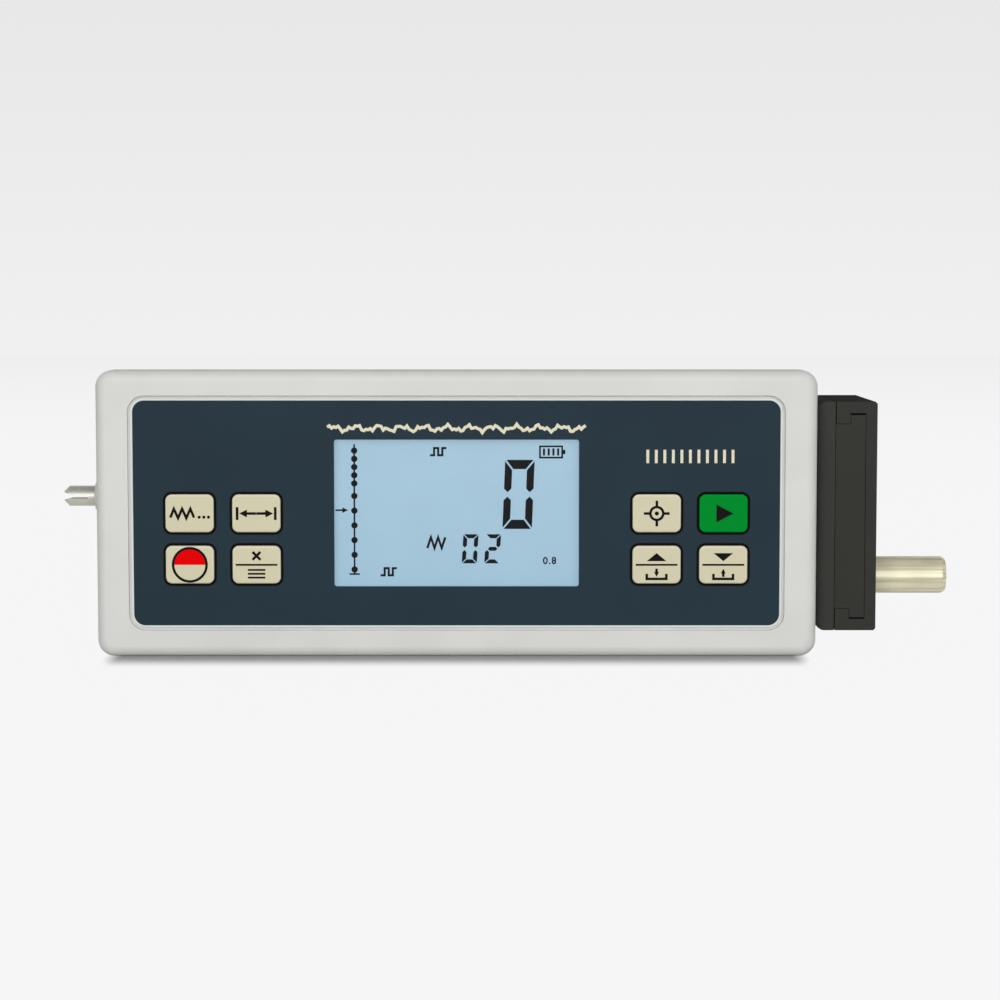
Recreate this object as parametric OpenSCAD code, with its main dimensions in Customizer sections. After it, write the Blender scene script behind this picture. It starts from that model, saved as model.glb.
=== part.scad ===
// Surface roughness tester: a hand-size housing with a keypad and display, and a motor-driven
// tube on its right end that draws a pickup along the work.
// X runs along the housing, -Y is the front, +Z is up, and the origin is the middle of the base.

/* [Housing] */
// Length of the housing
body_w = 140; // [138:1:160]
// Height of the housing
body_h = 55.7; // [55:0.1:66]
// Depth of the housing, front to back
body_d = 48; // [47:1:58]
// Depth of the front shell
front_depth = 8; // [7:0.5:9]
// How far the front shell's top stands above the rear shell's
top_step = 1.5; // [0:0.1:2]
// Thickness of the side, top, bottom and rear walls
wall = 2.2; // [1.8:0.1:2.6]
// Thickness of the front wall that carries the panel
face_t = 3; // [2.6:0.1:3.6]
// Radius of the outline's corners
corner_r = 3.2; // [2.4:0.1:4.5]
// Rounding of the front and rear edges
edge_r = 2; // [1:0.1:2.2]
// Height of the lip that centres one shell in the other
lip_h = 1.5; // [1:0.1:2.5]
// Width and depth of the groove where the shells meet
seam = 0.3; // [0.15:0.05:0.5]

/* [Front panel] */
// Width of the panel
panel_w = 126.2; // [118:0.2:128]
// Height of the panel
panel_h = 44.5; // [38:0.1:46]
// How far the panel's middle lies above the middle of the housing
panel_rise = 0.2; // [0:0.05:1]
// Thickness of the panel
panel_t = 0.7; // [0.5:0.05:0.9]
// Radius of the panel's corners
panel_r = 2.6; // [1:0.1:4]
// Width of the groove round the panel
panel_groove = 0.6; // [0.3:0.1:1.2]
// Depth of the recess that the panel lies in
recess_t = 1; // [0.9:0.05:1.3]

/* [Display] */
// Width of the visible window
window_w = 47.5; // [40:0.5:52]
// Height of the visible window
window_h = 28.6; // [24:0.2:30]
// Radius of the window's corners
window_r = 0.5; // [0.3:0.1:2]
// Thickness of the clear pane
pane_t = 0.9; // [0.6:0.1:1]
// How far the pane reaches under the panel
pane_lap = 1.5; // [1:0.1:2]
// Thickness of the display glass
glass_t = 2.4; // [1.6:0.1:3]
// Thickness of the backlight
light_t = 2.8; // [2.2:0.1:3.2]
// Wall of the frame round the display glass
lcd_frame_t = 1.5; // [1:0.1:2.2]

/* [Keys] */
// Width of a key cap
key_w = 9.4; // [8:0.1:10.2]
// Height of a key cap
key_h = 7.4; // [6:0.1:8]
// Corner radius of a key cap
key_r = 1.25; // [0.8:0.05:2]
// Rounding of a key cap's front edge
key_edge_r = 0.45; // [0.2:0.05:0.5]
// Distance between key columns
key_pitch_x = 12.95; // [12.6:0.05:14]
// Distance between key rows
key_pitch_z = 10; // [9.8:0.1:11]
// Distance from the middle of the panel to the middle of a key block
key_block_x = 45.3; // [44.5:0.1:46]
// How far the middle of a key block lies below the middle of the panel
key_drop = 5; // [3:0.1:6]
// How far a key stands out of the panel
key_proud = 0.5; // [0.2:0.1:1]
// Travel of a key
key_travel = 0.7; // [0.4:0.1:1]
// Width of the black rim round a key
rim_w = 0.4; // [0.35:0.05:0.6]
// Thickness of the bezel plate under the panel
bezel_t = 0.8; // [0.6:0.05:1]

/* [End slide] */
// Length of the slide, front to back
slide_l = 30.6; // [30:0.2:38]
// Height of the slide's front face
slide_h = 45.2; // [44.4:0.1:46]
// Height of the slide's middle above the base
slide_z = 26.7; // [26.2:0.05:27.2]
// Thickness of the pad that the end plate sits on
pad_t = 0.75; // [0.4:0.05:1.2]
// Thickness of the end plate
plate_t = 3.65; // [2.8:0.05:4.2]
// Rounding of the end plate's edges towards the housing
plate_r = 1.8; // [0.6:0.1:2.4]
// Height of the T-rail's neck
neck_h = 36.4; // [35:0.1:37]
// Length of the T-rail's neck
neck_l = 3.05; // [2.4:0.05:4]
// Height of the T-rail's head
head_h = 40; // [38.5:0.1:40.5]
// Thickness of the T-rail's head
head_t = 2.9; // [2.6:0.1:4]
// Thickness of the end block over the head
block_cap = 2.2; // [1.2:0.05:3]

/* [Drive] */
// Outside diameter of the drive tube
tube_d = 7.4; // [6.2:0.1:7.6]
// Bore of the drive tube
tube_bore = 5; // [4:0.1:5.2]
// Height of the drive tube above the base
tube_z = 13.5; // [13.4:0.1:16]
// How far the tube stands out of the end block
tube_out = 15.9; // [12:0.1:20]
// Travel of the tube
stroke = 17.5; // [12:0.5:18]
// Depth of the pickup socket in the tube
socket_l = 12; // [8:0.5:16]
// Diameter of the lead screw
lead_d = 4; // [3.6:0.1:5]
// Height of the lead screw above the tube
lead_rise = 10.4; // [10:0.1:11]
// Diameter of the guide rod
rod_d = 3; // [2.5:0.1:4]
// Height of the guide rod above the lead screw
rod_rise = 9.5; // [9:0.1:10]
// Length of the carriage
carriage_l = 12; // [10:0.5:14]
// Width of the carriage, front to back
carriage_d = 12; // [11.6:0.2:13]
// Thickness of the chassis plates
chassis_t = 2; // [1.5:0.1:2.5]
// Length of the gear motor
motor_l = 30; // [24:1:36]

/* [Adjuster] */
// Diameter of the spindle
spindle_d = 4.1; // [3.6:0.1:5]
// How far the spindle stands out of the housing
spindle_out = 10.1; // [8.5:0.1:13]
// Height of the spindle above the base
spindle_z = 29.4; // [24:0.1:36]
// Distance of the spindle behind the middle of the housing
spindle_y = 2; // [-1:0.5:3]
// Width of the screwdriver slot
slot_w = 0.9; // [0.5:0.05:1.1]
// Depth of the screwdriver slot
slot_l = 5; // [3:0.1:5.4]
// Width of the slot's flared mouth
mouth_w = 1.6; // [1.3:0.05:1.7]
// How far the boss round the spindle stands out of the housing
boss_h = 3.6; // [2:0.1:4]

/* [Batteries] */
// Diameter of a cell
cell_d = 10.5; // [10:0.1:10.6]
// Length of a cell
cell_l = 44.5; // [42:0.1:46]
// Space between cells
cell_gap = 0.4; // [0.2:0.1:0.6]
// Thickness of the battery door
door_t = 2; // [1.6:0.1:2.4]
// Gap round the battery door
door_gap = 0.25; // [0.15:0.05:0.4]
// Diameter of the battery door's hinge pins
hinge_d = 1.2; // [1:0.05:1.4]

/* [Fasteners] */
// Shank diameter of a case screw
case_screw_d = 2.4; // [2:0.1:2.5]
// Distance of a case screw from the end of the housing
case_inset_x = 8; // [7.8:0.1:8.2]
// Distance of a case screw from the top or base
case_inset_z = 5.2; // [5:0.1:5.2]
// Shank diameter of a board screw
board_screw_d = 1.9; // [1.6:0.1:2.2]
// Shank diameter of a rail screw
rail_screw_d = 2.4; // [2:0.1:2.6]

/* [Fits] */
// Gap between pieces that are fitted together
fit_gap = 0.1; // [0.05:0.01:0.12]
// Radial gap of a running fit
run_gap = 0.05; // [0.03:0.01:0.08]
// Gap beside a piece that moves freely
free_gap = 0.3; // [0.2:0.05:0.35]

/* [Hidden] */
$fn = 64;
LEFT = -1;
RIGHT = 1;
LOWER = -1;
UPPER = 1;
PAIR = [-1, 1];

// Planes of the housing
front_y = -body_d / 2;
rear_y = body_d / 2;
split_y = front_y + front_depth;
boss_depth = 16;
pillar_y = front_y + boss_depth;
mid_z = body_h / 2;
rear_h = body_h - top_step;
rear_mid_z = rear_h / 2;
panel_z = mid_z + panel_rise;
end_x = body_w / 2;
inner_x = end_x - wall;
inner_front_y = front_y + face_t;
inner_rear_y = rear_y - wall;
inner_r = max(corner_r - wall, 0.4);
lip_t = wall / 2 - fit_gap;
reach = 2 * body_w;
// How far a cutter runs past the face that it opens
over = 1;

// Layers behind the face
recess_y = front_y + recess_t;
panel_y = recess_y - panel_t;
window_margin = 0.4;
glass_y = inner_front_y + run_gap;
light_y = glass_y + glass_t;
board_y = light_y + light_t;
board_t = 1.6;
board_back_y = board_y + board_t;
board_edge = 4;
board_margin = 6;
board_x = end_x - case_inset_x - board_edge;
board_z = mid_z - board_margin;
glass_margin_x = 2.2;
glass_margin_z = 2.4;
glass_w = window_w + 2 * glass_margin_x;
glass_h = window_h + 2 * glass_margin_z;
strip_h = 1.8;
light_h = glass_h - 2 * (strip_h + free_gap);

// Chips on the board: width, height and thickness, and the place from the board's middle
processor_size = [14, 14, 1.6];
processor_at = [-20, 8];
amplifier_size = [9, 6, 1.7];
amplifier_at = [-36, -10];
driver_size = [8, 6, 1.7];
driver_at = [34, 9];

// Keys
key_fit = 0.12;
rim_fit = run_gap;
bezel_margin = 1.1;
bezel_r = 1.5;
key_block_z = panel_z - key_drop;
bezel_w = key_pitch_x + key_w + 2 * (rim_w + bezel_margin);
bezel_h = key_pitch_z + key_h + 2 * (rim_w + bezel_margin);
key_front_y = panel_y - key_proud;
flange_y = inner_front_y + run_gap;
flange_t = 0.8;
flange_lap = 0.7;
stem_d = 3;
stem_y = flange_y + flange_t + 1.2;
mat_t = 1;
mat_y = board_y - mat_t;
dome_y = stem_y + key_travel + fit_gap;
dome_d = 6;

// Key colours
cream = [0.82, 0.80, 0.69];
green = [0.01, 0.54, 0.19];

// Fastener sizes: a pan head's diameter and height as shares of the shank
head_ratio = 1.7;
head_rise = 0.7;
boss_wall = 1.5;
case_head_d = head_ratio * case_screw_d;
case_head_h = head_rise * case_screw_d;
case_seat = 4;
case_thread = 8;
case_x = end_x - case_inset_x;
post_d = case_screw_d + 2 * boss_wall;
pillar_d = case_head_d + 2 * fit_gap + 2;
board_screw_in = [3, 3.5];
board_screw_x = board_x - board_screw_in[0];
board_screw_z = board_z - board_screw_in[1];
board_thread = 4;

// End slide
slide_z0 = slide_z - slide_h / 2;
slide_z1 = slide_z + slide_h / 2;
plate_back = end_x + pad_t;
plate_front = plate_back + plate_t;
rail_x0 = plate_front + fit_gap;
neck_x1 = plate_front + neck_l;
head_x1 = neck_x1 + head_t;
slide_gap = 0.2;
head_gap = 0.35;
block_x0 = plate_front + slide_gap;
block_x1 = head_x1 + fit_gap + block_cap;
block_edge = 0.4;
pad_inset = 2.2;
rail_screw_y = 12;
rail_screw_z = 9.5;
rail_head_d = head_ratio * rail_screw_d;
rail_head_h = head_rise * rail_screw_d;

// Drive, from the end wall inwards
tube_y = 0;
lead_z = tube_z + lead_rise;
rod_z = lead_z + rod_rise;
bush_wall = 1;
bush_d = tube_d + 2 * bush_wall;
bush_rim = 0.8;
bush_flange_d = bush_d + 2 * bush_rim;
bush_flange_t = 1;
chassis_x1 = inner_x - fit_gap;
chassis_x0 = chassis_x1 - chassis_t;
stop_gap = 1;
carriage_x1 = chassis_x0 - bush_flange_t - stop_gap;
carriage_x0 = carriage_x1 - carriage_l;
carriage_wall = 1;
carriage_r = 2;
rod_wall = 2;
carriage_z0 = tube_z - tube_d / 2 - carriage_wall;
carriage_z1 = rod_z + rod_d / 2 + rod_wall;
nut_wall = 2;
nut_d = lead_d + 2 * nut_wall;
nut_rim = 1.5;
nut_flange_d = nut_d + 2 * nut_rim;
nut_flange_t = 2;
journal_step = 0.5;
journal_d = lead_d - 2 * journal_step;
bearing_wall = 1.5;
bearing_d = journal_d + 2 * bearing_wall;
bearing_rim = 1;
bearing_flange_d = bearing_d + 2 * bearing_rim;
bearing_flange_t = 1;
inner_plate_x1 = carriage_x0 - stroke - nut_flange_t - stop_gap - bearing_flange_t;
inner_plate_x0 = inner_plate_x1 - chassis_t;
coupling_wall = 2;
coupling_d = journal_d + 2 * coupling_wall;
coupling_l = 11;
coupling_gap = 1.8;
coupling_x1 = inner_plate_x0 - coupling_gap;
coupling_x0 = coupling_x1 - coupling_l;
coupling_mid = (coupling_x0 + coupling_x1) / 2;
coupling_screw_x = [coupling_x0 + coupling_l / 4, coupling_x1 - coupling_l / 4];
coupling_screw_d = 2;
motor_plate_x1 = coupling_x0 - coupling_gap;
motor_plate_x0 = motor_plate_x1 - chassis_t;
web_t = 1.5;
web_room = 3;
web_y = carriage_d / 2 + web_room;
chassis_edge = [1.6, 3];
chassis_z0 = tube_z - bush_d / 2 - chassis_edge[0];
chassis_z1 = rod_z + rod_d / 2 + chassis_edge[1];
web_z0 = chassis_z0 + 3;
motor_w = 12;
motor_d = 10;
gearbox_l = 9;
motor_screw_d = 1.5;
motor_screw_z = motor_w / 2 - 1.6;
tube_x0 = carriage_x0 + 1;
tube_x1 = block_x1 + tube_out;
tube_edge = 0.8;
socket_x = tube_x1 - socket_l;
connector_l = 4;
wire_bore = tube_bore - 1;
contact_d = 0.8;
contact_r = wire_bore / 4;
set_screw_d = 2.4;

// Adjuster
boss_rim = 1.15;
boss_d = spindle_d + 2 * boss_rim;
boss_edge = 0.4;
trimmer_w = 9.6;
trimmer_l = 6.5;
spigot_wall = 1;
spigot_d = spindle_d + 2 * spigot_wall;
spigot_skin = 0.6;
trimmer_x1 = -inner_x + trimmer_l;
collar_rim = 0.6;
collar_d = spindle_d + 2 * collar_rim;
collar_l = 1.6;
collar_x = -inner_x + 2;
spindle_x0 = -end_x - spindle_out;
spindle_edge = 1.1;
mouth_l = 1.5;

// Battery bay
CELLS = 4;
cell_pitch = cell_d + cell_gap;
bay_wall = 2.2;
bay_floor = 1.2;
ledge = 1;
contact_t = 0.4;
leaf_h = 3;
plate_h = 1.2;
contact_w = 7;
bay_l = cell_l + leaf_h + plate_h + 2 * fit_gap;
bay_h = CELLS * cell_d + (CELLS - 1) * cell_gap + 2 * free_gap;
bay_x0 = -case_x + pillar_d / 2 + bay_wall + 0.5;
bay_x1 = bay_x0 + bay_l;
bay_mid_x = (bay_x0 + bay_x1) / 2;
ledge_y = rear_y - door_t - fit_gap;
cell_y = ledge_y - fit_gap - free_gap - cell_d / 2;
bay_y = cell_y - cell_d / 2 - fit_gap;
opening_w = bay_l + 2 * ledge;
opening_h = bay_h + 2 * ledge;
door_w = opening_w - 2 * door_gap;
door_h = opening_h - 2 * door_gap;
opening_r = 1.2;
hinge_r = door_t / 2;
hinge_x = bay_mid_x + door_w / 2 - hinge_r;
hinge_y = rear_y - hinge_r;
hinge_l = 1.4;
scoop_r = 9;
scoop_t = 1.1;
scoop_h = 15;
grip_grooves = 5;

// Range of a given half-width about a middle
function around(middle, half) = [middle - half, middle + half];

// Box between two corners, each axis given as [low, high]
module box(x, y, z) {
    translate([x[0], y[0], z[0]])
        cube([x[1] - x[0], y[1] - y[0], z[1] - z[0]]);
}

// Cylinder along X between two planes
module rod_x(d, x, y, z) {
    translate([x[0], y, z])
        rotate([0, 90, 0])
            cylinder(d = d, h = x[1] - x[0]);
}

// Cylinder along Y between two planes
module rod_y(d, y, x, z) {
    translate([x, y[1], z])
        rotate([90, 0, 0])
            cylinder(d = d, h = y[1] - y[0]);
}

// Rectangle with round corners, centred
module round_rect(w, h, r) {
    square([w - 2 * r, h], center = true);
    square([w, h - 2 * r], center = true);
    for (sx = PAIR, sy = PAIR)
        translate([sx * (w / 2 - r), sy * (h / 2 - r)])
            circle(r);
}

// Upright plate between two Y planes, with its middle at x, z
module slab(w, h, r, y, x, z) {
    translate([x, y[1], z])
        rotate([90, 0, 0])
            linear_extrude(y[1] - y[0])
                round_rect(w, h, r);
}

// Section through a rounded edge, from the corner's centre outwards
module edge_section(corner, d, edge) {
    intersection() {
        translate([0, -d / 2])
            square([corner, d]);
        translate([corner - d, 0])
            round_rect(2 * d, d, edge);
    }
}

// Block with an outline in XZ, round corners, and rounded front and rear edges
module rounded_block(w, h, d, corner, edge) {
    rotate([0, 90, 0])
        rotate([0, 0, 90])
            linear_extrude(w - 2 * corner, center = true)
                round_rect(d, h, edge);
    for (side = [0, 1])
        mirror([side, 0, 0])
            translate([w / 2 - corner, 0, 0]) {
                linear_extrude(h - 2 * corner, center = true)
                    edge_section(corner, d, edge);
                for (end = [0, 1])
                    mirror([0, 0, end])
                        translate([0, 0, h / 2 - corner])
                            rotate([-90, 0, 0])
                                rotate_extrude(angle = -90)
                                    edge_section(corner, d, edge);
            }
}

// Turned piece along +X from a list of [x, radius] points on its outline
module turned_x(x, y, z, outline) {
    translate([x, y, z])
        rotate([0, 90, 0])
            rotate_extrude()
                polygon(concat(
                    [[0, outline[0][0]]],
                    [for (p = outline) [p[1], p[0]]],
                    [[0, outline[len(outline) - 1][0]]]
                ));
}

// Screw along Y with a pan head behind its seat and a cross recess; the shank points to -Y
module screw_y(d, head_d, head_h, shank, x, y, z) {
    recess = 0.22 * head_d;
    difference() {
        union() {
            rod_y(d, [y - shank, y + head_h / 2], x, z);
            rod_y(head_d, [y, y + head_h], x, z);
        }
        for (turn = [0, 90])
            translate([x, y + head_h, z])
                rotate([0, turn, 0])
                    cube([0.62 * head_d, head_h, recess], center = true);
    }
}

// Screw along X with a pan head beyond its seat and a cross recess; the shank points to -X
module screw_x(d, head_d, head_h, shank, x, y, z) {
    translate([x, y, z])
        rotate([0, 0, -90])
            screw_y(d, head_d, head_h, shank, 0, 0, 0);
}

// Whole outside of the housing at a given height, before it is split
module case_outside(h) {
    translate([0, 0, h / 2])
        rounded_block(body_w, h, body_d, corner_r, edge_r);
    box(
        [inner_x, plate_back],
        around(0, slide_l / 2 - pad_inset),
        around(slide_z, slide_h / 2 - pad_inset)
    );
    turned_x(-end_x - boss_h, spindle_y, spindle_z, [
        [0, boss_d / 2 - boss_edge],
        [boss_edge, boss_d / 2],
        [boss_h + wall, boss_d / 2]
    ]);
}

// Hollow of the housing between two Y planes
module case_hollow(y) {
    slab(body_w - 2 * wall, rear_h - 2 * wall, inner_r, y, 0, rear_mid_z);
}

// Groove round the outside where the shells meet
module seam_groove() {
    difference() {
        slab(
            body_w + 2 * over, body_h + 2 * over, corner_r,
            [split_y - seam, split_y + over], 0, mid_z
        );
        slab(
            body_w - 2 * seam, body_h - 2 * seam, corner_r - seam,
            [split_y - seam - over, split_y + 2 * over], 0, mid_z
        );
    }
}

// Plate with the battery door's outline, square at its hinge, between two Y planes
module door_plate(w, h, y) {
    translate([bay_mid_x, y[1], rear_mid_z])
        rotate([90, 0, 0])
            linear_extrude(y[1] - y[0]) {
                round_rect(w, h, opening_r);
                translate([w / 2 - opening_r, -h / 2])
                    square([opening_r, h]);
            }
}

// Places a child at each case screw
module at_case_screws() {
    for (sx = PAIR, sz = PAIR)
        translate([sx * case_x, 0, rear_mid_z + sz * (rear_mid_z - case_inset_z)])
            children();
}

// Places a child at each board screw
module at_board_screws() {
    for (sx = PAIR, sz = PAIR)
        translate([sx * board_screw_x, 0, mid_z + sz * board_screw_z])
            children();
}

// Places a child at each rail screw
module at_rail_screws() {
    for (sy = PAIR, sz = PAIR)
        translate([0, sy * rail_screw_y, slide_z + sz * rail_screw_z])
            children();
}

// Places a child at the middle of each key of one block
module at_keys(side) {
    for (column = PAIR, row = PAIR)
        translate([
            side * key_block_x + column * key_pitch_x / 2,
            0,
            key_block_z + row * key_pitch_z / 2
        ])
            children();
}

// Holes through the right end of the housing for the drive and the rail screws
module end_holes() {
    rod_x(bush_d + 2 * fit_gap, [inner_x - wall, plate_back + wall], tube_y, tube_z);
    at_rail_screws()
        rod_x(rail_screw_d + 2 * fit_gap, [inner_x - wall, plate_back + wall], 0, 0);
}

module front_shell() {
    color([0.80, 0.80, 0.78])
        difference() {
            union() {
                difference() {
                    intersection() {
                        case_outside(body_h);
                        box(around(0, reach), [-reach, split_y], around(0, reach));
                    }
                    case_hollow([inner_front_y, split_y + wall]);
                    slab(
                        body_w - wall, rear_h - wall, inner_r + wall / 2,
                        [split_y - lip_h - fit_gap, split_y + wall], 0, rear_mid_z
                    );
                }
                at_case_screws()
                    rod_y(post_d, [inner_front_y - wall / 2, pillar_y], 0, 0);
                at_board_screws()
                    rod_y(board_screw_d + 2 * boss_wall, [inner_front_y - wall / 2, board_y], 0, 0);
            }
            slab(
                panel_w + 2 * panel_groove, panel_h + 2 * panel_groove, panel_r + panel_groove,
                [front_y - wall, recess_y], 0, panel_z
            );
            slab(
                window_w + 2 * (pane_lap + fit_gap), window_h + 2 * (pane_lap + fit_gap), window_r + pane_lap,
                [front_y - wall, recess_y + pane_t], 0, panel_z
            );
            slab(
                window_w + 2 * window_margin, window_h + 2 * window_margin, window_r + window_margin,
                [front_y, inner_front_y + wall], 0, panel_z
            );
            for (side = PAIR) {
                slab(
                    bezel_w + 2 * fit_gap, bezel_h + 2 * fit_gap, bezel_r + fit_gap,
                    [front_y - wall, recess_y + bezel_t], side * key_block_x, key_block_z
                );
                at_keys(side)
                    slab(
                        key_w + 2 * free_gap, key_h + 2 * free_gap, key_r + free_gap,
                        [front_y, inner_front_y + wall], 0, 0
                    );
            }
            at_case_screws()
                rod_y(case_screw_d + 2 * run_gap, [pillar_y - case_thread - over, pillar_y + over], 0, 0);
            at_board_screws()
                rod_y(board_screw_d + 2 * run_gap, [board_y - board_thread - fit_gap, board_y + over], 0, 0);
            seam_groove();
        }
}

module rear_shell() {
    color([0.80, 0.80, 0.78])
        difference() {
            union() {
                difference() {
                    intersection() {
                        case_outside(rear_h);
                        box(around(0, reach), [split_y, reach], around(0, reach));
                    }
                    case_hollow([split_y - wall, inner_rear_y]);
                }
                difference() {
                    slab(
                        body_w - 2 * wall + 2 * lip_t, rear_h - 2 * wall + 2 * lip_t, inner_r + lip_t,
                        [split_y - lip_h, split_y + wall], 0, rear_mid_z
                    );
                    case_hollow([split_y - 2 * lip_h, split_y + 2 * wall]);
                }
                at_case_screws()
                    rod_y(pillar_d, [pillar_y, inner_rear_y + wall / 2], 0, 0);
                slab(
                    bay_l + 2 * bay_wall, bay_h + 2 * bay_wall, 1,
                    [bay_y - bay_floor, inner_rear_y + wall / 2], bay_mid_x, rear_mid_z
                );
            }
            slab(bay_l, bay_h, 0.5, [bay_y, rear_y + wall], bay_mid_x, rear_mid_z);
            door_plate(opening_w, opening_h, [ledge_y, rear_y + wall]);
            translate([hinge_x, hinge_y, rear_mid_z])
                cylinder(d = hinge_d + 2 * run_gap, h = opening_h + 2 * (hinge_l + fit_gap), center = true);
            translate([bay_mid_x - opening_w / 2, rear_y + scoop_r - scoop_t, rear_mid_z])
                cylinder(r = scoop_r, h = scoop_h, center = true);
            at_case_screws() {
                rod_y(post_d + 2 * fit_gap, [split_y - lip_h - over, pillar_y], 0, 0);
                rod_y(case_screw_d + 2 * free_gap, [pillar_y - over, rear_y], 0, 0);
                rod_y(case_head_d + 4 * fit_gap, [pillar_y + case_seat, rear_y + over], 0, 0);
            }
            rod_x(spigot_d + 2 * fit_gap, [-end_x + spigot_skin, -inner_x + over], spindle_y, spindle_z);
            rod_x(spindle_d + 2 * free_gap, [-end_x - boss_h - over, -inner_x], spindle_y, spindle_z);
            end_holes();
        }
}

module case_screws() {
    color([0.45, 0.46, 0.48])
        at_case_screws()
            screw_y(
                case_screw_d, case_head_d, case_head_h, case_seat + case_thread,
                0, pillar_y + case_seat, 0
            );
}

module front_panel() {
    color([0.17, 0.22, 0.26])
        difference() {
            slab(panel_w, panel_h, panel_r, [panel_y, recess_y], 0, panel_z);
            slab(window_w, window_h, window_r, [panel_y - over, recess_y + over], 0, panel_z);
            for (side = PAIR)
                at_keys(side)
                    slab(
                        key_w + 2 * rim_w, key_h + 2 * rim_w, key_r + rim_w,
                        [panel_y - over, recess_y + over], 0, 0
                    );
        }
}

module display_window() {
    color([0.80, 0.90, 0.95, 0.35])
        slab(
            window_w + 2 * pane_lap, window_h + 2 * pane_lap, window_r + pane_lap,
            [recess_y, recess_y + pane_t], 0, panel_z
        );
}

// Plate under the panel with a rim up through the panel round each key
module key_bezel(side) {
    color([0.06, 0.06, 0.06])
        difference() {
            union() {
                slab(
                    bezel_w, bezel_h, bezel_r,
                    [recess_y, recess_y + bezel_t], side * key_block_x, key_block_z
                );
                at_keys(side)
                    slab(
                        key_w + 2 * (rim_w - rim_fit), key_h + 2 * (rim_w - rim_fit), key_r + rim_w - rim_fit,
                        [panel_y, recess_y + bezel_t / 2], 0, 0
                    );
            }
            at_keys(side)
                slab(
                    key_w + 2 * key_fit, key_h + 2 * key_fit, key_r + key_fit,
                    [panel_y - over, inner_front_y], 0, 0
                );
        }
}

module key_bezel_left() {
    key_bezel(LEFT);
}

module key_bezel_right() {
    key_bezel(RIGHT);
}

// Cap with a flange behind the front wall and a stem over its dome
module key_cap(side, column, row, tint) {
    cap_d = flange_y + key_edge_r - key_front_y;
    color(tint)
        translate([
            side * key_block_x + column * key_pitch_x / 2,
            0,
            key_block_z + row * key_pitch_z / 2
        ]) {
            translate([0, key_front_y + cap_d / 2, 0])
                rounded_block(key_w, key_h, cap_d, key_r, key_edge_r);
            slab(
                key_w + 2 * flange_lap, key_h + 2 * flange_lap, key_r,
                [flange_y, flange_y + flange_t], 0, 0
            );
            rod_y(stem_d, [flange_y + flange_t / 2, stem_y], 0, 0);
        }
}

module key_parameter() {
    key_cap(LEFT, LEFT, UPPER, cream);
}

module key_cutoff() {
    key_cap(LEFT, RIGHT, UPPER, cream);
}

module key_power() {
    key_cap(LEFT, LEFT, LOWER, cream);
}

module key_menu() {
    key_cap(LEFT, RIGHT, LOWER, cream);
}

module key_calibrate() {
    key_cap(RIGHT, LEFT, UPPER, cream);
}

module key_start() {
    key_cap(RIGHT, RIGHT, UPPER, green);
}

module key_up() {
    key_cap(RIGHT, LEFT, LOWER, cream);
}

module key_down() {
    key_cap(RIGHT, RIGHT, LOWER, cream);
}

// Rubber sheet on the board with a dome behind each key
module key_mat(side) {
    color([0.10, 0.10, 0.11])
        union() {
            slab(bezel_w, bezel_h, bezel_r, [mat_y, board_y], side * key_block_x, key_block_z);
            at_keys(side)
                rod_y(dome_d, [dome_y, mat_y + mat_t / 2], 0, 0);
        }
}

module key_mat_left() {
    key_mat(LEFT);
}

module key_mat_right() {
    key_mat(RIGHT);
}

module lcd_frame() {
    outer = fit_gap + lcd_frame_t;
    color([0.88, 0.88, 0.86])
        difference() {
            slab(glass_w + 2 * outer, glass_h + 2 * outer, 1, [inner_front_y, board_y], 0, panel_z);
            slab(
                glass_w + 2 * fit_gap, glass_h + 2 * fit_gap, 0.3,
                [inner_front_y - over, board_y + over], 0, panel_z
            );
        }
}

module lcd_glass() {
    color([0.63, 0.77, 0.85])
        slab(glass_w, glass_h, 0.2, [glass_y, light_y], 0, panel_z);
}

module lcd_backlight() {
    color([0.90, 0.95, 1.0])
        slab(glass_w - 2 * free_gap, light_h, 0.4, [light_y, board_y], 0, panel_z);
}

module lcd_connectors() {
    color([0.85, 0.55, 0.60])
        for (sz = PAIR)
            slab(
                glass_w - 2 * free_gap, strip_h, 0.3, [light_y, board_y],
                0, panel_z + sz * (glass_h - strip_h) / 2
            );
}

module main_board() {
    color([0.05, 0.35, 0.18])
        difference() {
            slab(2 * board_x, 2 * board_z, 1, [board_y, board_back_y], 0, mid_z);
            at_board_screws()
                rod_y(board_screw_d + 2 * fit_gap, [board_y - over, board_back_y + over], 0, 0);
        }
}

module board_screws() {
    color([0.70, 0.70, 0.72])
        at_board_screws()
            screw_y(
                board_screw_d, head_ratio * board_screw_d, head_rise * board_screw_d, board_t + board_thread,
                0, board_back_y, 0
            );
}

// Chip on the back of the board with a row of leads on two sides; the place is from its middle
module chip(size, leads, place) {
    w = size[0];
    h = size[1];
    x = place[0];
    z = mid_z + place[1];
    lead_t = 0.2;
    lead_w = 0.4;
    lead_out = 1;
    pitch = w / leads;
    color([0.08, 0.08, 0.08]) {
        slab(w, h, 0.3, [board_back_y + lead_t, board_back_y + size[2]], x, z);
        for (i = [0 : leads - 1], s = PAIR)
            translate([x - w / 2 + (i + 0.5) * pitch - lead_w / 2, board_back_y, z + s * h / 2 - lead_out])
                cube([lead_w, 2 * lead_t, 2 * lead_out]);
    }
}

module processor_chip() {
    chip(processor_size, 10, processor_at);
}

module amplifier_chip() {
    chip(amplifier_size, 7, amplifier_at);
}

module motor_driver_chip() {
    chip(driver_size, 6, driver_at);
}

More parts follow.
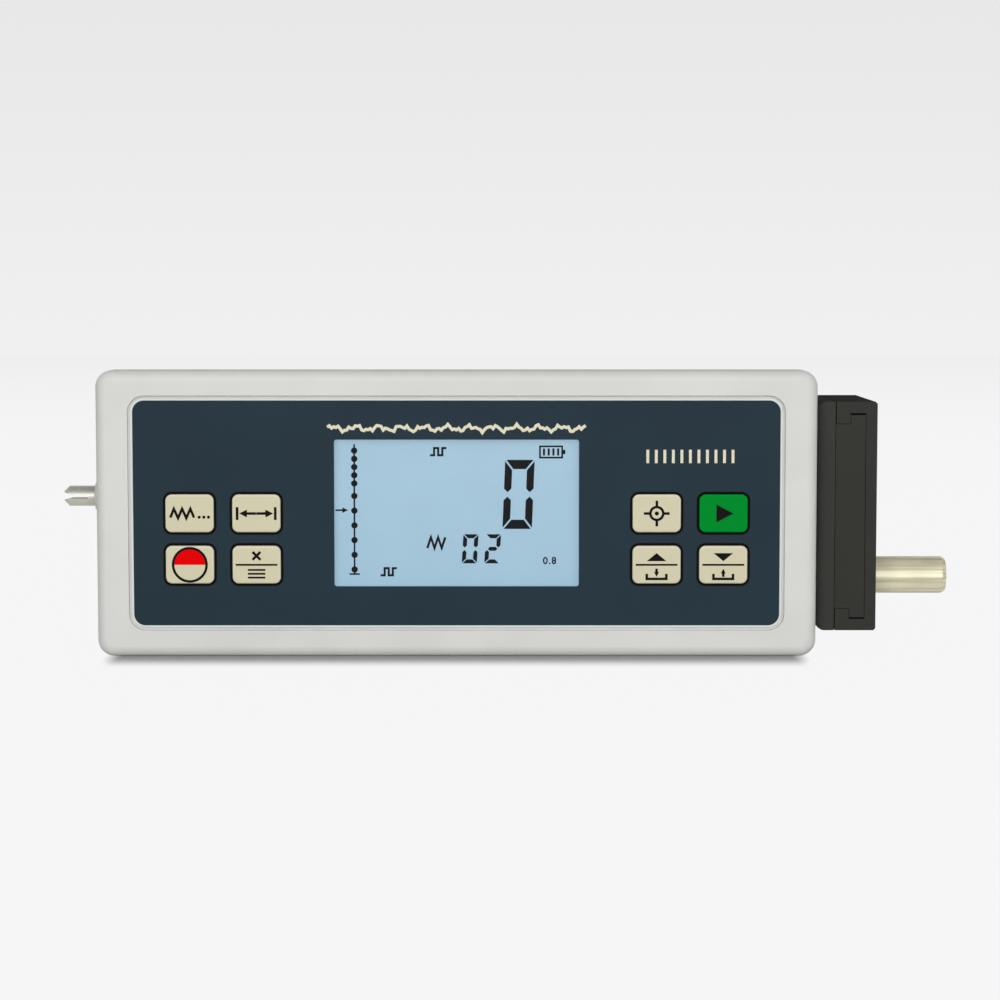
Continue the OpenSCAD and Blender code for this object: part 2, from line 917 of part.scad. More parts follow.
// Dry cell along X with its button towards side
module battery_cell(index) {
    side = index % 2 == 0 ? RIGHT : LEFT;
    rim = 0.6;
    button_d = 3.8;
    button_h = 1;
    can_l = cell_l - button_h;
    middle = bay_mid_x + side * (leaf_h - plate_h) / 2;
    color([0.20, 0.35, 0.55])
        translate([middle, cell_y, rear_mid_z + (index - (CELLS - 1) / 2) * cell_pitch])
            rotate([0, 0, side == RIGHT ? 0 : 180])
                turned_x(-cell_l / 2, 0, 0, [
                    [0, cell_d / 2 - rim],
                    [rim / 2, cell_d / 2],
                    [can_l - rim / 2, cell_d / 2],
                    [can_l, cell_d / 2 - rim],
                    [can_l, button_d / 2],
                    [cell_l, button_d / 2]
                ]);
}

module battery_cell_1() {
    battery_cell(0);
}

module battery_cell_2() {
    battery_cell(1);
}

module battery_cell_3() {
    battery_cell(2);
}

module battery_cell_4() {
    battery_cell(3);
}

// Places a child at one end of each cell, with the child's +X pointing to the cell
module at_cell_ends(button_end) {
    for (i = [0 : CELLS - 1]) {
        at_left = (i % 2 == 0) != button_end;
        translate([at_left ? bay_x0 : bay_x1, cell_y, rear_mid_z + (i - (CELLS - 1) / 2) * cell_pitch])
            rotate([0, 0, at_left ? 0 : 180])
                children();
    }
}

module battery_springs() {
    bow_r = (leaf_h - contact_t / 2) / 2;
    color([0.80, 0.80, 0.78])
        at_cell_ends(false) {
            box([0, contact_t], around(0, contact_w / 2), around(0, contact_w / 2));
            translate([contact_t / 2 + bow_r, 0, 0])
                difference() {
                    cylinder(r = bow_r, h = contact_w - 2, center = true);
                    cylinder(r = bow_r - contact_t, h = contact_w, center = true);
                    translate([0, bow_r, 0])
                        cube([bow_r, bow_r, contact_w], center = true);
                }
        }
}

module battery_plates() {
    bump_d = 4;
    color([0.80, 0.80, 0.78])
        at_cell_ends(true) {
            box([0, contact_t], around(0, contact_w / 2), around(0, contact_w / 2));
            rod_x(bump_d, [contact_t / 2, plate_h], 0, 0);
        }
}

module battery_door() {
    door_x0 = bay_mid_x - door_w / 2;
    groove_w = 0.8;
    groove_t = 0.5;
    groove_h = 14;
    color([0.78, 0.78, 0.76])
        difference() {
            union() {
                difference() {
                    door_plate(door_w, door_h, [rear_y - door_t, rear_y]);
                    box([hinge_x, end_x], [0, rear_y + over], [0, body_h]);
                }
                translate([hinge_x, hinge_y, rear_mid_z]) {
                    cylinder(r = hinge_r, h = door_h, center = true);
                    cylinder(d = hinge_d, h = opening_h + 2 * hinge_l, center = true);
                }
            }
            for (i = [1 : grip_grooves])
                box(
                    [door_x0 + (2 * i + 1) * groove_w, door_x0 + (2 * i + 2) * groove_w],
                    [rear_y - groove_t, rear_y + over],
                    around(rear_mid_z, groove_h / 2)
                );
        }
}

// Extrudes a profile drawn in XZ over the slide's length
module along_slide() {
    translate([0, slide_l / 2, 0])
        rotate([90, 0, 0])
            linear_extrude(slide_l)
                children();
}

// Section of the end plate, with its two corners towards the housing rounded
module plate_section(half) {
    intersection() {
        translate([plate_back, -half])
            square([plate_t, 2 * half]);
        translate([plate_front, 0])
            round_rect(2 * plate_t, 2 * half, plate_r);
    }
}

// T-shaped section, grown by a gap on its flanks and another on the ends of its head
module tee(x0, flank, ends) {
    translate([x0, slide_z - neck_h / 2 - flank])
        square([neck_x1 + head_t / 2 - x0, neck_h + 2 * flank]);
    translate([neck_x1 - flank, slide_z - head_h / 2 - ends])
        square([head_t + 2 * flank, head_h + 2 * ends]);
}

module end_plate() {
    color([0.22, 0.22, 0.21])
        difference() {
            intersection() {
                along_slide()
                    translate([0, slide_z])
                        plate_section(slide_h / 2);
                translate([0, 0, slide_z0])
                    linear_extrude(slide_h)
                        plate_section(slide_l / 2);
            }
            rod_x(bush_d + 2 * fit_gap, [plate_back - over, plate_front + over], tube_y, tube_z);
            at_rail_screws()
                rod_x(rail_screw_d + 2 * fit_gap, [plate_back - over, plate_front + over], 0, 0);
        }
}

module end_rail() {
    color([0.22, 0.22, 0.21])
        difference() {
            along_slide()
                tee(rail_x0, 0, 0);
            rod_x(tube_d + 2 * free_gap, [rail_x0 - over, head_x1 + over], tube_y, tube_z);
            at_rail_screws() {
                rod_x(rail_screw_d + 2 * fit_gap, [rail_x0 - over, head_x1 + over], 0, 0);
                rod_x(rail_head_d + 4 * fit_gap, [head_x1 - rail_head_h - fit_gap, head_x1 + over], 0, 0);
            }
        }
}

module rail_screws() {
    seat = head_x1 - rail_head_h - fit_gap;
    color([0.45, 0.46, 0.48])
        at_rail_screws()
            screw_x(rail_screw_d, rail_head_d, rail_head_h, seat - chassis_x0, seat, 0, 0);
}

module end_block() {
    color([0.20, 0.20, 0.19])
        difference() {
            along_slide()
                difference() {
                    polygon([
                        [block_x0, slide_z0],
                        [block_x1 - block_edge, slide_z0],
                        [block_x1, slide_z0 + block_edge],
                        [block_x1, slide_z1 - block_edge],
                        [block_x1 - block_edge, slide_z1],
                        [block_x0, slide_z1]
                    ]);
                    tee(block_x0 - over, fit_gap, head_gap);
                }
            rod_x(tube_d + 2 * free_gap, [block_x0 - over, block_x1 + over], tube_y, tube_z);
        }
}

module drive_chassis() {
    plate_y = rail_screw_y + 3;
    front_edge = -carriage_d / 2 - 1;
    color([0.68, 0.69, 0.70])
        difference() {
            union() {
                box([motor_plate_x0, chassis_x1], [web_y, web_y + web_t], [web_z0, chassis_z1]);
                box([chassis_x0, chassis_x1], around(0, plate_y), [chassis_z0, chassis_z1]);
                box(
                    [inner_plate_x0, inner_plate_x1],
                    [front_edge, web_y + web_t],
                    [web_z0, chassis_z1]
                );
                box(
                    [motor_plate_x0, motor_plate_x1],
                    [front_edge, web_y + web_t],
                    around(lead_z, motor_w / 2 + 1)
                );
            }
            rod_x(bush_d + 2 * fit_gap, [chassis_x0 - over, chassis_x1 + over], tube_y, tube_z);
            rod_x(bearing_d + 2 * fit_gap, [inner_plate_x0 - over, chassis_x1 + over], tube_y, lead_z);
            rod_x(rod_d + 2 * run_gap, [inner_plate_x0 - over, chassis_x1 + over], tube_y, rod_z);
            rod_x(journal_d + 2 * free_gap, [motor_plate_x0 - over, motor_plate_x1 + over], tube_y, lead_z);
            for (sz = PAIR)
                rod_x(
                    motor_screw_d + 2 * fit_gap,
                    [motor_plate_x0 - over, motor_plate_x1 + over], tube_y, lead_z + sz * motor_screw_z
                );
            at_rail_screws()
                rod_x(rail_screw_d + 2 * run_gap, [chassis_x0 - over, chassis_x1 + over], 0, 0);
        }
}

module gear_motor() {
    cap_l = 3;
    terminal_l = 2;
    can_x0 = motor_plate_x0 - motor_l + terminal_l;
    gear_x0 = motor_plate_x0 - gearbox_l;
    bore_l = 4;
    color([0.72, 0.72, 0.70])
        difference() {
            union() {
                box(
                    [gear_x0, motor_plate_x0],
                    around(tube_y, motor_d / 2),
                    around(lead_z, motor_w / 2)
                );
                intersection() {
                    rod_x(motor_w, [can_x0 + cap_l / 2, gear_x0 + 1], tube_y, lead_z);
                    box(
                        [can_x0, motor_plate_x0],
                        around(tube_y, motor_d / 2),
                        [0, body_h]
                    );
                }
                rod_x(motor_d - 1, [can_x0, gear_x0], tube_y, lead_z);
                for (sz = PAIR)
                    box(
                        [can_x0 - terminal_l, can_x0 + cap_l],
                        around(tube_y, 1),
                        around(lead_z + sz * 3, 0.25)
                    );
            }
            rod_x(journal_d + 2 * run_gap, [motor_plate_x0 - bore_l, motor_plate_x0 + over], tube_y, lead_z);
            for (sz = PAIR)
                rod_x(
                    motor_screw_d + 2 * run_gap,
                    [motor_plate_x0 - bore_l, motor_plate_x0 + over], tube_y, lead_z + sz * motor_screw_z
                );
        }
}

module motor_screws() {
    color([0.60, 0.61, 0.63])
        for (sz = PAIR)
            screw_x(
                motor_screw_d, head_ratio * motor_screw_d, coupling_gap / 2, chassis_t + 3,
                motor_plate_x1, tube_y, lead_z + sz * motor_screw_z
            );
}

module motor_shaft() {
    color([0.75, 0.75, 0.76])
        rod_x(journal_d, [motor_plate_x0 - 3, coupling_mid - fit_gap], tube_y, lead_z);
}

module shaft_coupling() {
    color([0.62, 0.63, 0.66])
        difference() {
            rod_x(coupling_d, [coupling_x0, coupling_x1], tube_y, lead_z);
            rod_x(journal_d + 2 * run_gap, [coupling_x0 - over, coupling_x1 + over], tube_y, lead_z);
            for (x = coupling_screw_x)
                rod_y(coupling_screw_d + 2 * run_gap, [tube_y - coupling_d, tube_y], x, lead_z);
        }
}

module coupling_screws() {
    color([0.30, 0.30, 0.32])
        for (x = coupling_screw_x)
            rod_y(
                coupling_screw_d,
                [tube_y - coupling_d / 2 + fit_gap, tube_y - journal_d / 2 - run_gap], x, lead_z
            );
}

module lead_screw() {
    shoulder_l = inner_plate_x1 + bearing_flange_t + run_gap;
    shoulder_r = chassis_x0 - bearing_flange_t - run_gap;
    color([0.72, 0.72, 0.74]) {
        rod_x(journal_d, [coupling_mid + fit_gap, chassis_x1 - fit_gap], tube_y, lead_z);
        rod_x(lead_d, [shoulder_l, shoulder_r], tube_y, lead_z);
    }
}

module screw_bearings() {
    color([0.70, 0.52, 0.30]) {
        difference() {
            union() {
                rod_x(bearing_d, [inner_plate_x0, inner_plate_x1], tube_y, lead_z);
                rod_x(bearing_flange_d, [inner_plate_x1, inner_plate_x1 + bearing_flange_t], tube_y, lead_z);
            }
            rod_x(
                journal_d + 2 * run_gap,
                [inner_plate_x0 - over, inner_plate_x1 + 2 * over], tube_y, lead_z
            );
        }
        difference() {
            union() {
                rod_x(bearing_d, [chassis_x0, chassis_x1], tube_y, lead_z);
                rod_x(bearing_flange_d, [chassis_x0 - bearing_flange_t, chassis_x0], tube_y, lead_z);
            }
            rod_x(journal_d + 2 * run_gap, [chassis_x0 - 2 * over, chassis_x1 + over], tube_y, lead_z);
        }
    }
}

module guide_rod() {
    color([0.78, 0.78, 0.80])
        rod_x(rod_d, [inner_plate_x0, chassis_x1], tube_y, rod_z);
}

module carriage() {
    height = carriage_z1 - carriage_z0;
    color([0.25, 0.26, 0.28])
        difference() {
            translate([carriage_x0, tube_y, (carriage_z0 + carriage_z1) / 2])
                rotate([0, 90, 0])
                    rotate([0, 0, 90])
                        linear_extrude(carriage_l)
                            round_rect(carriage_d, height, carriage_r);
            rod_x(tube_d + 2 * run_gap, [tube_x0, carriage_x1 + over], tube_y, tube_z);
            rod_x(nut_d + 2 * run_gap, [carriage_x0 - over, carriage_x1 + over], tube_y, lead_z);
            rod_x(rod_d + 2 * run_gap, [carriage_x0 - over, carriage_x1 + over], tube_y, rod_z);
            rod_y(
                set_screw_d + 2 * run_gap,
                [tube_y - carriage_d, tube_y], (carriage_x0 + carriage_x1) / 2, tube_z
            );
        }
}

module lead_nut() {
    color([0.78, 0.62, 0.32])
        difference() {
            union() {
                rod_x(nut_d, [carriage_x0, carriage_x1], tube_y, lead_z);
                rod_x(nut_flange_d, [carriage_x0 - nut_flange_t, carriage_x0], tube_y, lead_z);
            }
            rod_x(
                lead_d + 2 * run_gap,
                [carriage_x0 - nut_flange_t - over, carriage_x1 + over], tube_y, lead_z
            );
        }
}

module tube_set_screw() {
    color([0.30, 0.30, 0.32])
        rod_y(
            set_screw_d,
            [tube_y - carriage_d / 2 + fit_gap, tube_y - tube_d / 2 - run_gap],
            (carriage_x0 + carriage_x1) / 2, tube_z
        );
}

module drive_tube() {
    color([0.83, 0.74, 0.52])
        difference() {
            turned_x(tube_x0, tube_y, tube_z, [
                [0, tube_d / 2],
                [tube_x1 - tube_x0 - tube_edge, tube_d / 2],
                [tube_x1 - tube_x0, tube_d / 2 - tube_edge / 2]
            ]);
            rod_x(tube_bore, [socket_x, tube_x1 + over], tube_y, tube_z);
            rod_x(wire_bore, [tube_x0 - over, tube_x1], tube_y, tube_z);
        }
}

module tube_bush() {
    color([0.66, 0.50, 0.28])
        difference() {
            union() {
                rod_x(bush_d, [chassis_x0, plate_front - fit_gap], tube_y, tube_z);
                rod_x(bush_flange_d, [chassis_x0 - bush_flange_t, chassis_x0], tube_y, tube_z);
            }
            rod_x(tube_d + 2 * run_gap, [chassis_x0 - 2 * over, plate_front + over], tube_y, tube_z);
        }
}

// Places a child at each contact of the pickup connector
module at_contacts() {
    for (turn = [45 : 90 : 315])
        translate([0, tube_y + contact_r * cos(turn), tube_z + contact_r * sin(turn)])
            children();
}

module pickup_connector() {
    color([0.12, 0.12, 0.13])
        difference() {
            rod_x(wire_bore - 2 * run_gap, [socket_x - connector_l, socket_x], tube_y, tube_z);
            at_contacts()
                rod_x(contact_d + 2 * run_gap, [socket_x - connector_l - over, socket_x + over], 0, 0);
        }
}

module connector_contacts() {
    tail = 1.5;
    pin_bore = 0.5;
    pin_depth = 3;
    color([0.90, 0.75, 0.40])
        at_contacts()
            difference() {
                rod_x(contact_d, [socket_x - connector_l - tail, socket_x], 0, 0);
                rod_x(pin_bore, [socket_x - pin_depth, socket_x + over], 0, 0);
            }
}

module limit_switches() {
    w = 5.8;
    h = 3.2;
    t = web_y - carriage_d / 2 - 2 * free_gap;
    nub = 0.8;
    color([0.15, 0.15, 0.16])
        for (x = [carriage_x0 - stroke, carriage_x1 - w]) {
            box([x, x + w], [web_y - t, web_y], around(lead_z, h / 2));
            box(around(x + w / 2, nub), [web_y - t, web_y - t / 2], [lead_z, lead_z + h / 2 + nub]);
        }
}

module trimmer() {
    half = trimmer_w / 2;
    color([0.15, 0.25, 0.45])
        difference() {
            union() {
                box(
                    [-inner_x, trimmer_x1],
                    around(spindle_y, half),
                    around(spindle_z, half)
                );
                rod_x(spigot_d, [-end_x + spigot_skin + fit_gap, -inner_x + over], spindle_y, spindle_z);
            }
            rod_x(spindle_d + 2 * run_gap, [-end_x - over, collar_x], spindle_y, spindle_z);
            rod_x(
                collar_d + 2 * free_gap,
                [collar_x - free_gap, collar_x + collar_l + free_gap], spindle_y, spindle_z
            );
        }
}

module adjuster_spindle() {
    r = spindle_d / 2;
    collar_from = collar_x - spindle_x0;
    color([0.72, 0.72, 0.70])
        difference() {
            turned_x(spindle_x0, spindle_y, spindle_z, [
                [0, r - spindle_edge],
                [spindle_edge, r],
                [collar_from, r],
                [collar_from, collar_d / 2],
                [collar_from + collar_l, collar_d / 2]
            ]);
            translate([spindle_x0, spindle_y + spindle_d, spindle_z])
                rotate([90, 0, 0])
                    linear_extrude(2 * spindle_d)
                        polygon([
                            [-over, -mouth_w / 2],
                            [0, -mouth_w / 2],
                            [mouth_l, -slot_w / 2],
                            [slot_l, -slot_w / 2],
                            [slot_l, slot_w / 2],
                            [mouth_l, slot_w / 2],
                            [0, mouth_w / 2],
                            [-over, mouth_w / 2]
                        ]);
        }
}

front_shell();
rear_shell();
case_screws();
front_panel();
display_window();
key_bezel_left();
key_bezel_right();
key_parameter();
key_cutoff();
key_power();
key_menu();
key_calibrate();
key_start();
key_up();
key_down();
key_mat_left();
key_mat_right();
lcd_frame();
lcd_glass();
lcd_backlight();
lcd_connectors();
main_board();
board_screws();
processor_chip();
amplifier_chip();
motor_driver_chip();
battery_cell_1();
battery_cell_2();
battery_cell_3();
battery_cell_4();
battery_springs();
battery_plates();
battery_door();
end_plate();
end_rail();
rail_screws();
end_block();
drive_chassis();
gear_motor();
motor_screws();
motor_shaft();
shaft_coupling();
coupling_screws();
lead_screw();
screw_bearings();
guide_rod();
carriage();
lead_nut();
tube_set_screw();
drive_tube();
tube_bush();
pickup_connector();
connector_contacts();
limit_switches();
trimmer();
adjuster_spindle();
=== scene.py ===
"""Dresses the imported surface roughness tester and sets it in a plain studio.

The solids keep their shapes. This script gives each of them its finish, prints the panel and the
keys, draws the display, cuts the lead screw's thread, and adds the floor, the lamps and the camera.
"""

from __future__ import annotations

import logging
import math
from dataclasses import dataclass, field
from enum import Enum

import bmesh
import bpy
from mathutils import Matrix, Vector


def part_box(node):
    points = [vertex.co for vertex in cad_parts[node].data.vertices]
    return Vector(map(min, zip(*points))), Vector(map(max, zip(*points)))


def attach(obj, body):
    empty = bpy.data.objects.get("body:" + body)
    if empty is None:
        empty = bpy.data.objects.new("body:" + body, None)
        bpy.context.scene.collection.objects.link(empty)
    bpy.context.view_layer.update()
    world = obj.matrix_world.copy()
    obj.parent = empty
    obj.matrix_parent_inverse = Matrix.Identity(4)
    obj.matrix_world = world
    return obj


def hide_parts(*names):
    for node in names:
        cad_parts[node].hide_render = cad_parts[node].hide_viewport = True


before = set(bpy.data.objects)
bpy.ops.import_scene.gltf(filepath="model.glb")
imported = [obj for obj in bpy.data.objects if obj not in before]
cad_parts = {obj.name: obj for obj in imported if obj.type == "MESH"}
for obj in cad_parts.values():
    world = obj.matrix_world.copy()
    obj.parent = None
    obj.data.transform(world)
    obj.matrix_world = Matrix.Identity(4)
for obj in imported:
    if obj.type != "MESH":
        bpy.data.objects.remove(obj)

LOG = logging.getLogger("roughness_tester")
MM = 0.001
NOISE_MIDDLE = 0.5
CLOUD_SPAN = (0.3, 0.7)
MITRE_LIMIT = 0.35
SEGMENT_GAP = 0.16
SEGMENT_WAIST = 0.3

Point = tuple[float, float]
Outline = list[Point]
Colour = tuple[float, float, float, float]


def tone(red: int, green: int, blue: int) -> Colour:
    """Turns a display colour into the linear colour that a shader takes.

    Args:
        red: Red, 0 to 255.
        green: Green, 0 to 255.
        blue: Blue, 0 to 255.

    Returns:
        The linear colour with full alpha.
    """

    def channel(value: int) -> float:
        """Linear value of one display channel."""
        share = value / 255
        return share / 12.92 if share <= 0.04045 else ((share + 0.055) / 1.055) ** 2.4

    return channel(red), channel(green), channel(blue), 1.0


def scaled(colour: Colour, share: float) -> Colour:
    """Colour with its light multiplied by a share."""
    return colour[0] * share, colour[1] * share, colour[2] * share, 1.0


class Wire:
    """Value of a socket, which Python expressions can be written with."""

    def __init__(self, sheet: NodeSheet, socket: bpy.types.NodeSocket) -> None:
        """Keeps the socket and the sheet that it belongs to."""
        self.sheet = sheet
        self.socket = socket

    def math(self, operation: str, *operands: Wire | float) -> Wire:
        """Adds a Math node.

        Args:
            operation: The Math node's operation.
            operands: Its inputs in order.

        Returns:
            The node's value.
        """
        node = self.sheet.node("ShaderNodeMath", {"operation": operation}, dict(enumerate(operands)))
        return Wire(self.sheet, node.outputs[0])

    def __add__(self, other: Wire | float) -> Wire:
        """Sum."""
        return self.math("ADD", self, other)

    def __radd__(self, other: float) -> Wire:
        """Sum with a number in front."""
        return self.math("ADD", other, self)

    def __sub__(self, other: Wire | float) -> Wire:
        """Difference."""
        return self.math("SUBTRACT", self, other)

    def __rsub__(self, other: float) -> Wire:
        """Difference from a number."""
        return self.math("SUBTRACT", other, self)

    def __mul__(self, other: Wire | float) -> Wire:
        """Product."""
        return self.math("MULTIPLY", self, other)

    def __rmul__(self, other: float) -> Wire:
        """Product with a number in front."""
        return self.math("MULTIPLY", other, self)

    def __abs__(self) -> Wire:
        """Size without its sign."""
        return self.math("ABSOLUTE", self)

    def root(self) -> Wire:
        """Square root."""
        return self.math("SQRT", self)

    def at_least(self, other: Wire | float) -> Wire:
        """Larger of two values."""
        return self.math("MAXIMUM", self, other)

    def swing(self, reach: float) -> Wire:
        """Pattern about nought, with that much between its ends."""
        return reach * (self - NOISE_MIDDLE)

    def rise(self, low: float, high: float) -> Wire:
        """Smooth step from 0 at low to 1 at high.

        Args:
            low: Value where the step starts.
            high: Value where it ends.

        Returns:
            The step's value.
        """
        node = self.sheet.node(
            "ShaderNodeMapRange",
            {"interpolation_type": "SMOOTHSTEP"},
            {"Value": self, "From Min": low, "From Max": high},
        )
        return Wire(self.sheet, node.outputs["Result"])


class NodeMaker:
    """Node tree that nodes are added to, each in one call."""

    tree: bpy.types.NodeTree

    def feed(self, socket: bpy.types.NodeSocket, value: object) -> None:
        """Links an input or sets it.

        Args:
            socket: The input.
            value: A Wire, a socket or a plain value.
        """
        source = value.socket if isinstance(value, Wire) else value
        if isinstance(source, bpy.types.NodeSocket):
            self.tree.links.new(source, socket)
        else:
            socket.default_value = source

    def node(
        self, kind: str, settings: dict | None = None, values: dict | None = None
    ) -> bpy.types.Node:
        """Adds any node.

        Args:
            kind: The node's type.
            settings: Its properties, which are set first.
            values: Its inputs by name or index: a Wire, a socket or a plain value.

        Returns:
            The new node.
        """
        made = self.tree.nodes.new(kind)
        for key, value in (settings or {}).items():
            setattr(made, key, value)
        for key, value in (values or {}).items():
            self.feed(made.inputs[key], value)
        return made


class NodeSheet(NodeMaker):
    """Node tree of one material that ends in a Principled shader."""

    def __init__(self, name: str) -> None:
        """Starts an empty material.

        Args:
            name: The material's name.
        """
        self.material = bpy.data.materials.new(name)
        self.material.use_nodes = True
        self.tree = self.material.node_tree
        self.tree.nodes.clear()
        self.shader = self.node("ShaderNodeBsdfPrincipled")
        self.output = self.node("ShaderNodeOutputMaterial", {}, {"Surface": self.shader.outputs["BSDF"]})
        self.place = self.node("ShaderNodeTexCoord").outputs["Object"]

    def along(self) -> tuple[Wire, Wire, Wire]:
        """X, Y and Z of the surface point in the part's frame."""
        split = self.node("ShaderNodeSeparateXYZ", {}, {0: self.place})
        return tuple(Wire(self, socket) for socket in split.outputs)

    def noise(
        self, grain: float, detail: float = 2.0, stretch: tuple[float, float, float] = (1, 1, 1)
    ) -> Wire:
        """Adds a noise pattern.

        Args:
            grain: Size of the pattern's features, in metres.
            detail: Number of finer layers in it.
            stretch: How many times longer a feature is along each axis.

        Returns:
            The pattern's value, about 0 to 1.
        """
        mapping = self.node(
            "ShaderNodeMapping", {}, {"Vector": self.place, "Scale": [1 / (grain * s) for s in stretch]}
        )
        made = self.node(
            "ShaderNodeTexNoise", {}, {"Vector": mapping.outputs[0], "Scale": 1.0, "Detail": detail}
        )
        return Wire(self, made.outputs[0])

    def mix(self, share: Wire, under: Wire | Colour, over: Wire | Colour) -> Wire:
        """Mixes two colours.

        Args:
            share: How much of the second shows.
            under: The first colour.
            over: The second colour.

        Returns:
            The mixed colour.
        """
        made = self.node("ShaderNodeMix", {"data_type": "RGBA"}, {0: share, 6: under, 7: over})
        return Wire(self, made.outputs[2])

    def bump(self, height: Wire, relief: float) -> Wire:
        """Adds a bump.

        Args:
            height: The relief as a value of 0 to 1.
            relief: Height of the relief, in metres.

        Returns:
            The bent normal.
        """
        values = {"Strength": 1.0, "Distance": relief, "Height": height}
        return Wire(self, self.node("ShaderNodeBump", {}, values).outputs[0])

    def shade(self, **sockets: Wire | float | Colour) -> bpy.types.Material:
        """Sets the shader's sockets.

        Args:
            sockets: Values or wires by socket name, with underscores for spaces.

        Returns:
            The finished material.
        """
        for key, value in sockets.items():
            self.feed(self.shader.inputs[key.replace("_", " ")], value)
        return self.material

    def inside(self, centre: Point, half: Point, corner: float, *folds: Point) -> Wire:
        """Distance inside a rounded rectangle in XZ, or inside the nearest of mirrored ones.

        Args:
            centre: Middle of the rectangle, or of all of them.
            half: Half of its width and height.
            corner: Radius of its corners.
            folds: How far each mirroring sets two copies off the middle, on X and Z.

        Returns:
            Metres inside the edge, negative outside it.
        """
        x, _, z = self.along()
        across, up = abs(x - centre[0]), abs(z - centre[1])
        for fold in folds:
            across, up = abs(across - fold[0]), abs(up - fold[1])
        across = (across - (half[0] - corner)).at_least(0.0)
        up = (up - (half[1] - corner)).at_least(0.0)
        return corner - (across * across + up * up).root()


@dataclass(frozen=True)
class Finish:
    """Colour and gloss that every finish has."""

    name: str
    colour: Colour
    roughness: float
    sheen: float = field(default=0.5, kw_only=True)

    def make(self) -> bpy.types.Material:
        """Builds the material."""
        raise NotImplementedError


@dataclass(frozen=True)
class Moulded(Finish):
    """Moulded plastic with a fine spark-eroded grain and a faint cloud in its tone."""

    grain: float = 0.16 * MM
    relief: float = 0.012 * MM
    cloud: float = 0.05
    cloud_size: float = 14 * MM
    speck_span: Point = (0.45, 0.8)
    speck_share: float = 0.12
    speck_tone: float = 0.8
    unevenness: float = 0.12

    def make(self) -> bpy.types.Material:
        """Builds the material.

        Returns:
            The material.
        """
        sheet = NodeSheet(self.name)
        cloud = sheet.noise(self.cloud_size)
        grain = sheet.noise(self.grain, detail=1.0)
        colour = sheet.mix(cloud.rise(*CLOUD_SPAN), scaled(self.colour, 1 - self.cloud), self.colour)
        return self.grained(sheet, grain, self.speckled(sheet, grain, colour))

    def speckled(self, sheet: NodeSheet, grain: Wire, colour: Wire | Colour) -> Wire:
        """Darkens the tops of the grain.

        Args:
            sheet: The material's nodes.
            grain: The grain's pattern.
            colour: Colour between the tops.

        Returns:
            The speckled colour.
        """
        share = grain.rise(*self.speck_span) * self.speck_share
        return sheet.mix(share, colour, scaled(self.colour, self.speck_tone))

    def grained(self, sheet: NodeSheet, grain: Wire, colour: Wire) -> bpy.types.Material:
        """Sets the shader with the grain in its gloss and its relief.

        Args:
            sheet: The material's nodes.
            grain: The grain's pattern.
            colour: The surface's colour.

        Returns:
            The material.
        """
        return sheet.shade(
            Base_Color=colour,
            Roughness=self.roughness + grain.swing(self.unevenness),
            Specular_IOR_Level=self.sheen,
            Normal=sheet.bump(grain, self.relief),
        )


@dataclass(frozen=True)
class KeyFinish(Moulded):
    """Moulded key cap with a paler band along its face's edge as a painted highlight, and painted shade on
    its flank in the gap round it.
    """

    # painted highlight: paler colour along the edge of the cap's face
    border: Colour = tone(240, 233, 206)
    centre: Point = (0.0, 0.0)
    half: Point = (4.8 * MM, 3.8 * MM)
    corner: float = 1.25 * MM
    border_w: float = 0.5 * MM
    border_blur: float = 0.6
    face_y: float = 0.0
    # painted shade: depth behind the face over which the cap's flank goes dark in the gap round it
    gap_shade_depth: Point = (0.25 * MM, 0.5 * MM)
    gap_shade_tone: float = 0.06
    speck_span: Point = (0.4, 0.8)
    speck_share: float = 0.15
    speck_tone: float = 0.86
    unevenness: float = 0.1

    def make(self) -> bpy.types.Material:
        """Builds the material.

        Returns:
            The material.
        """
        sheet = NodeSheet(self.name)
        grain = sheet.noise(self.grain, detail=1.0)
        _, y, _ = sheet.along()
        within = sheet.inside(self.centre, self.half, self.corner)
        # painted highlight: mask of the pale band along the face's edge
        rim = 1.0 - within.rise((1 - self.border_blur) * self.border_w, self.border_w)
        face = sheet.mix(rim, self.speckled(sheet, grain, self.colour), self.border)
        # painted shade: darkens the cap's flank behind its face, where the gap between cap and rim lies in
        # shade
        gap_shade = (y - self.face_y).rise(*self.gap_shade_depth)
        return self.grained(sheet, grain, sheet.mix(gap_shade, face, scaled(self.colour, self.gap_shade_tone)))


@dataclass(frozen=True)
class PanelFilm(Finish):
    """Printed satin film with a pale line along its edge and a black line round each key."""

    border: Colour
    centre: Point
    half: Point
    corner: float
    border_w: float
    key_centre: Point
    key_half: Point
    key_corner: float
    key_folds: tuple[Point, ...]
    key_line: Colour = tone(18, 16, 16)
    key_blur: float = 0.02 * MM
    border_blur: float = 0.15
    cloud_size: float = 20 * MM
    cloud_tone: float = 0.93
    grain: float = 0.12 * MM
    relief: float = 0.006 * MM
    speck_span: Point = (0.5, 0.8)
    speck_share: float = 0.12
    speck_tone: float = 1.5
    unevenness: float = 0.1

    def make(self) -> bpy.types.Material:
        """Builds the material.

        Returns:
            The material.
        """
        sheet = NodeSheet(self.name)
        cloud = sheet.noise(self.cloud_size)
        grain = sheet.noise(self.grain, detail=1.0)
        within = sheet.inside(self.centre, self.half, self.corner)
        near, far = (1 - self.border_blur) * self.border_w, (1 + self.border_blur) * self.border_w
        edge = 1.0 - within.rise(near, far)
        rim = sheet.inside(self.key_centre, self.key_half, self.key_corner, *self.key_folds)
        plain = sheet.mix(cloud.rise(*CLOUD_SPAN), scaled(self.colour, self.cloud_tone), self.colour)
        share = grain.rise(*self.speck_span) * self.speck_share
        speckled = sheet.mix(share, plain, scaled(self.colour, self.speck_tone))
        ruled = sheet.mix(rim.rise(-self.key_blur, self.key_blur), speckled, self.key_line)
        return sheet.shade(
            Base_Color=sheet.mix(edge, ruled, self.border),
            Roughness=self.roughness + grain.swing(self.unevenness),
            Specular_IOR_Level=self.sheen,
            Normal=sheet.bump(grain, self.relief),
        )


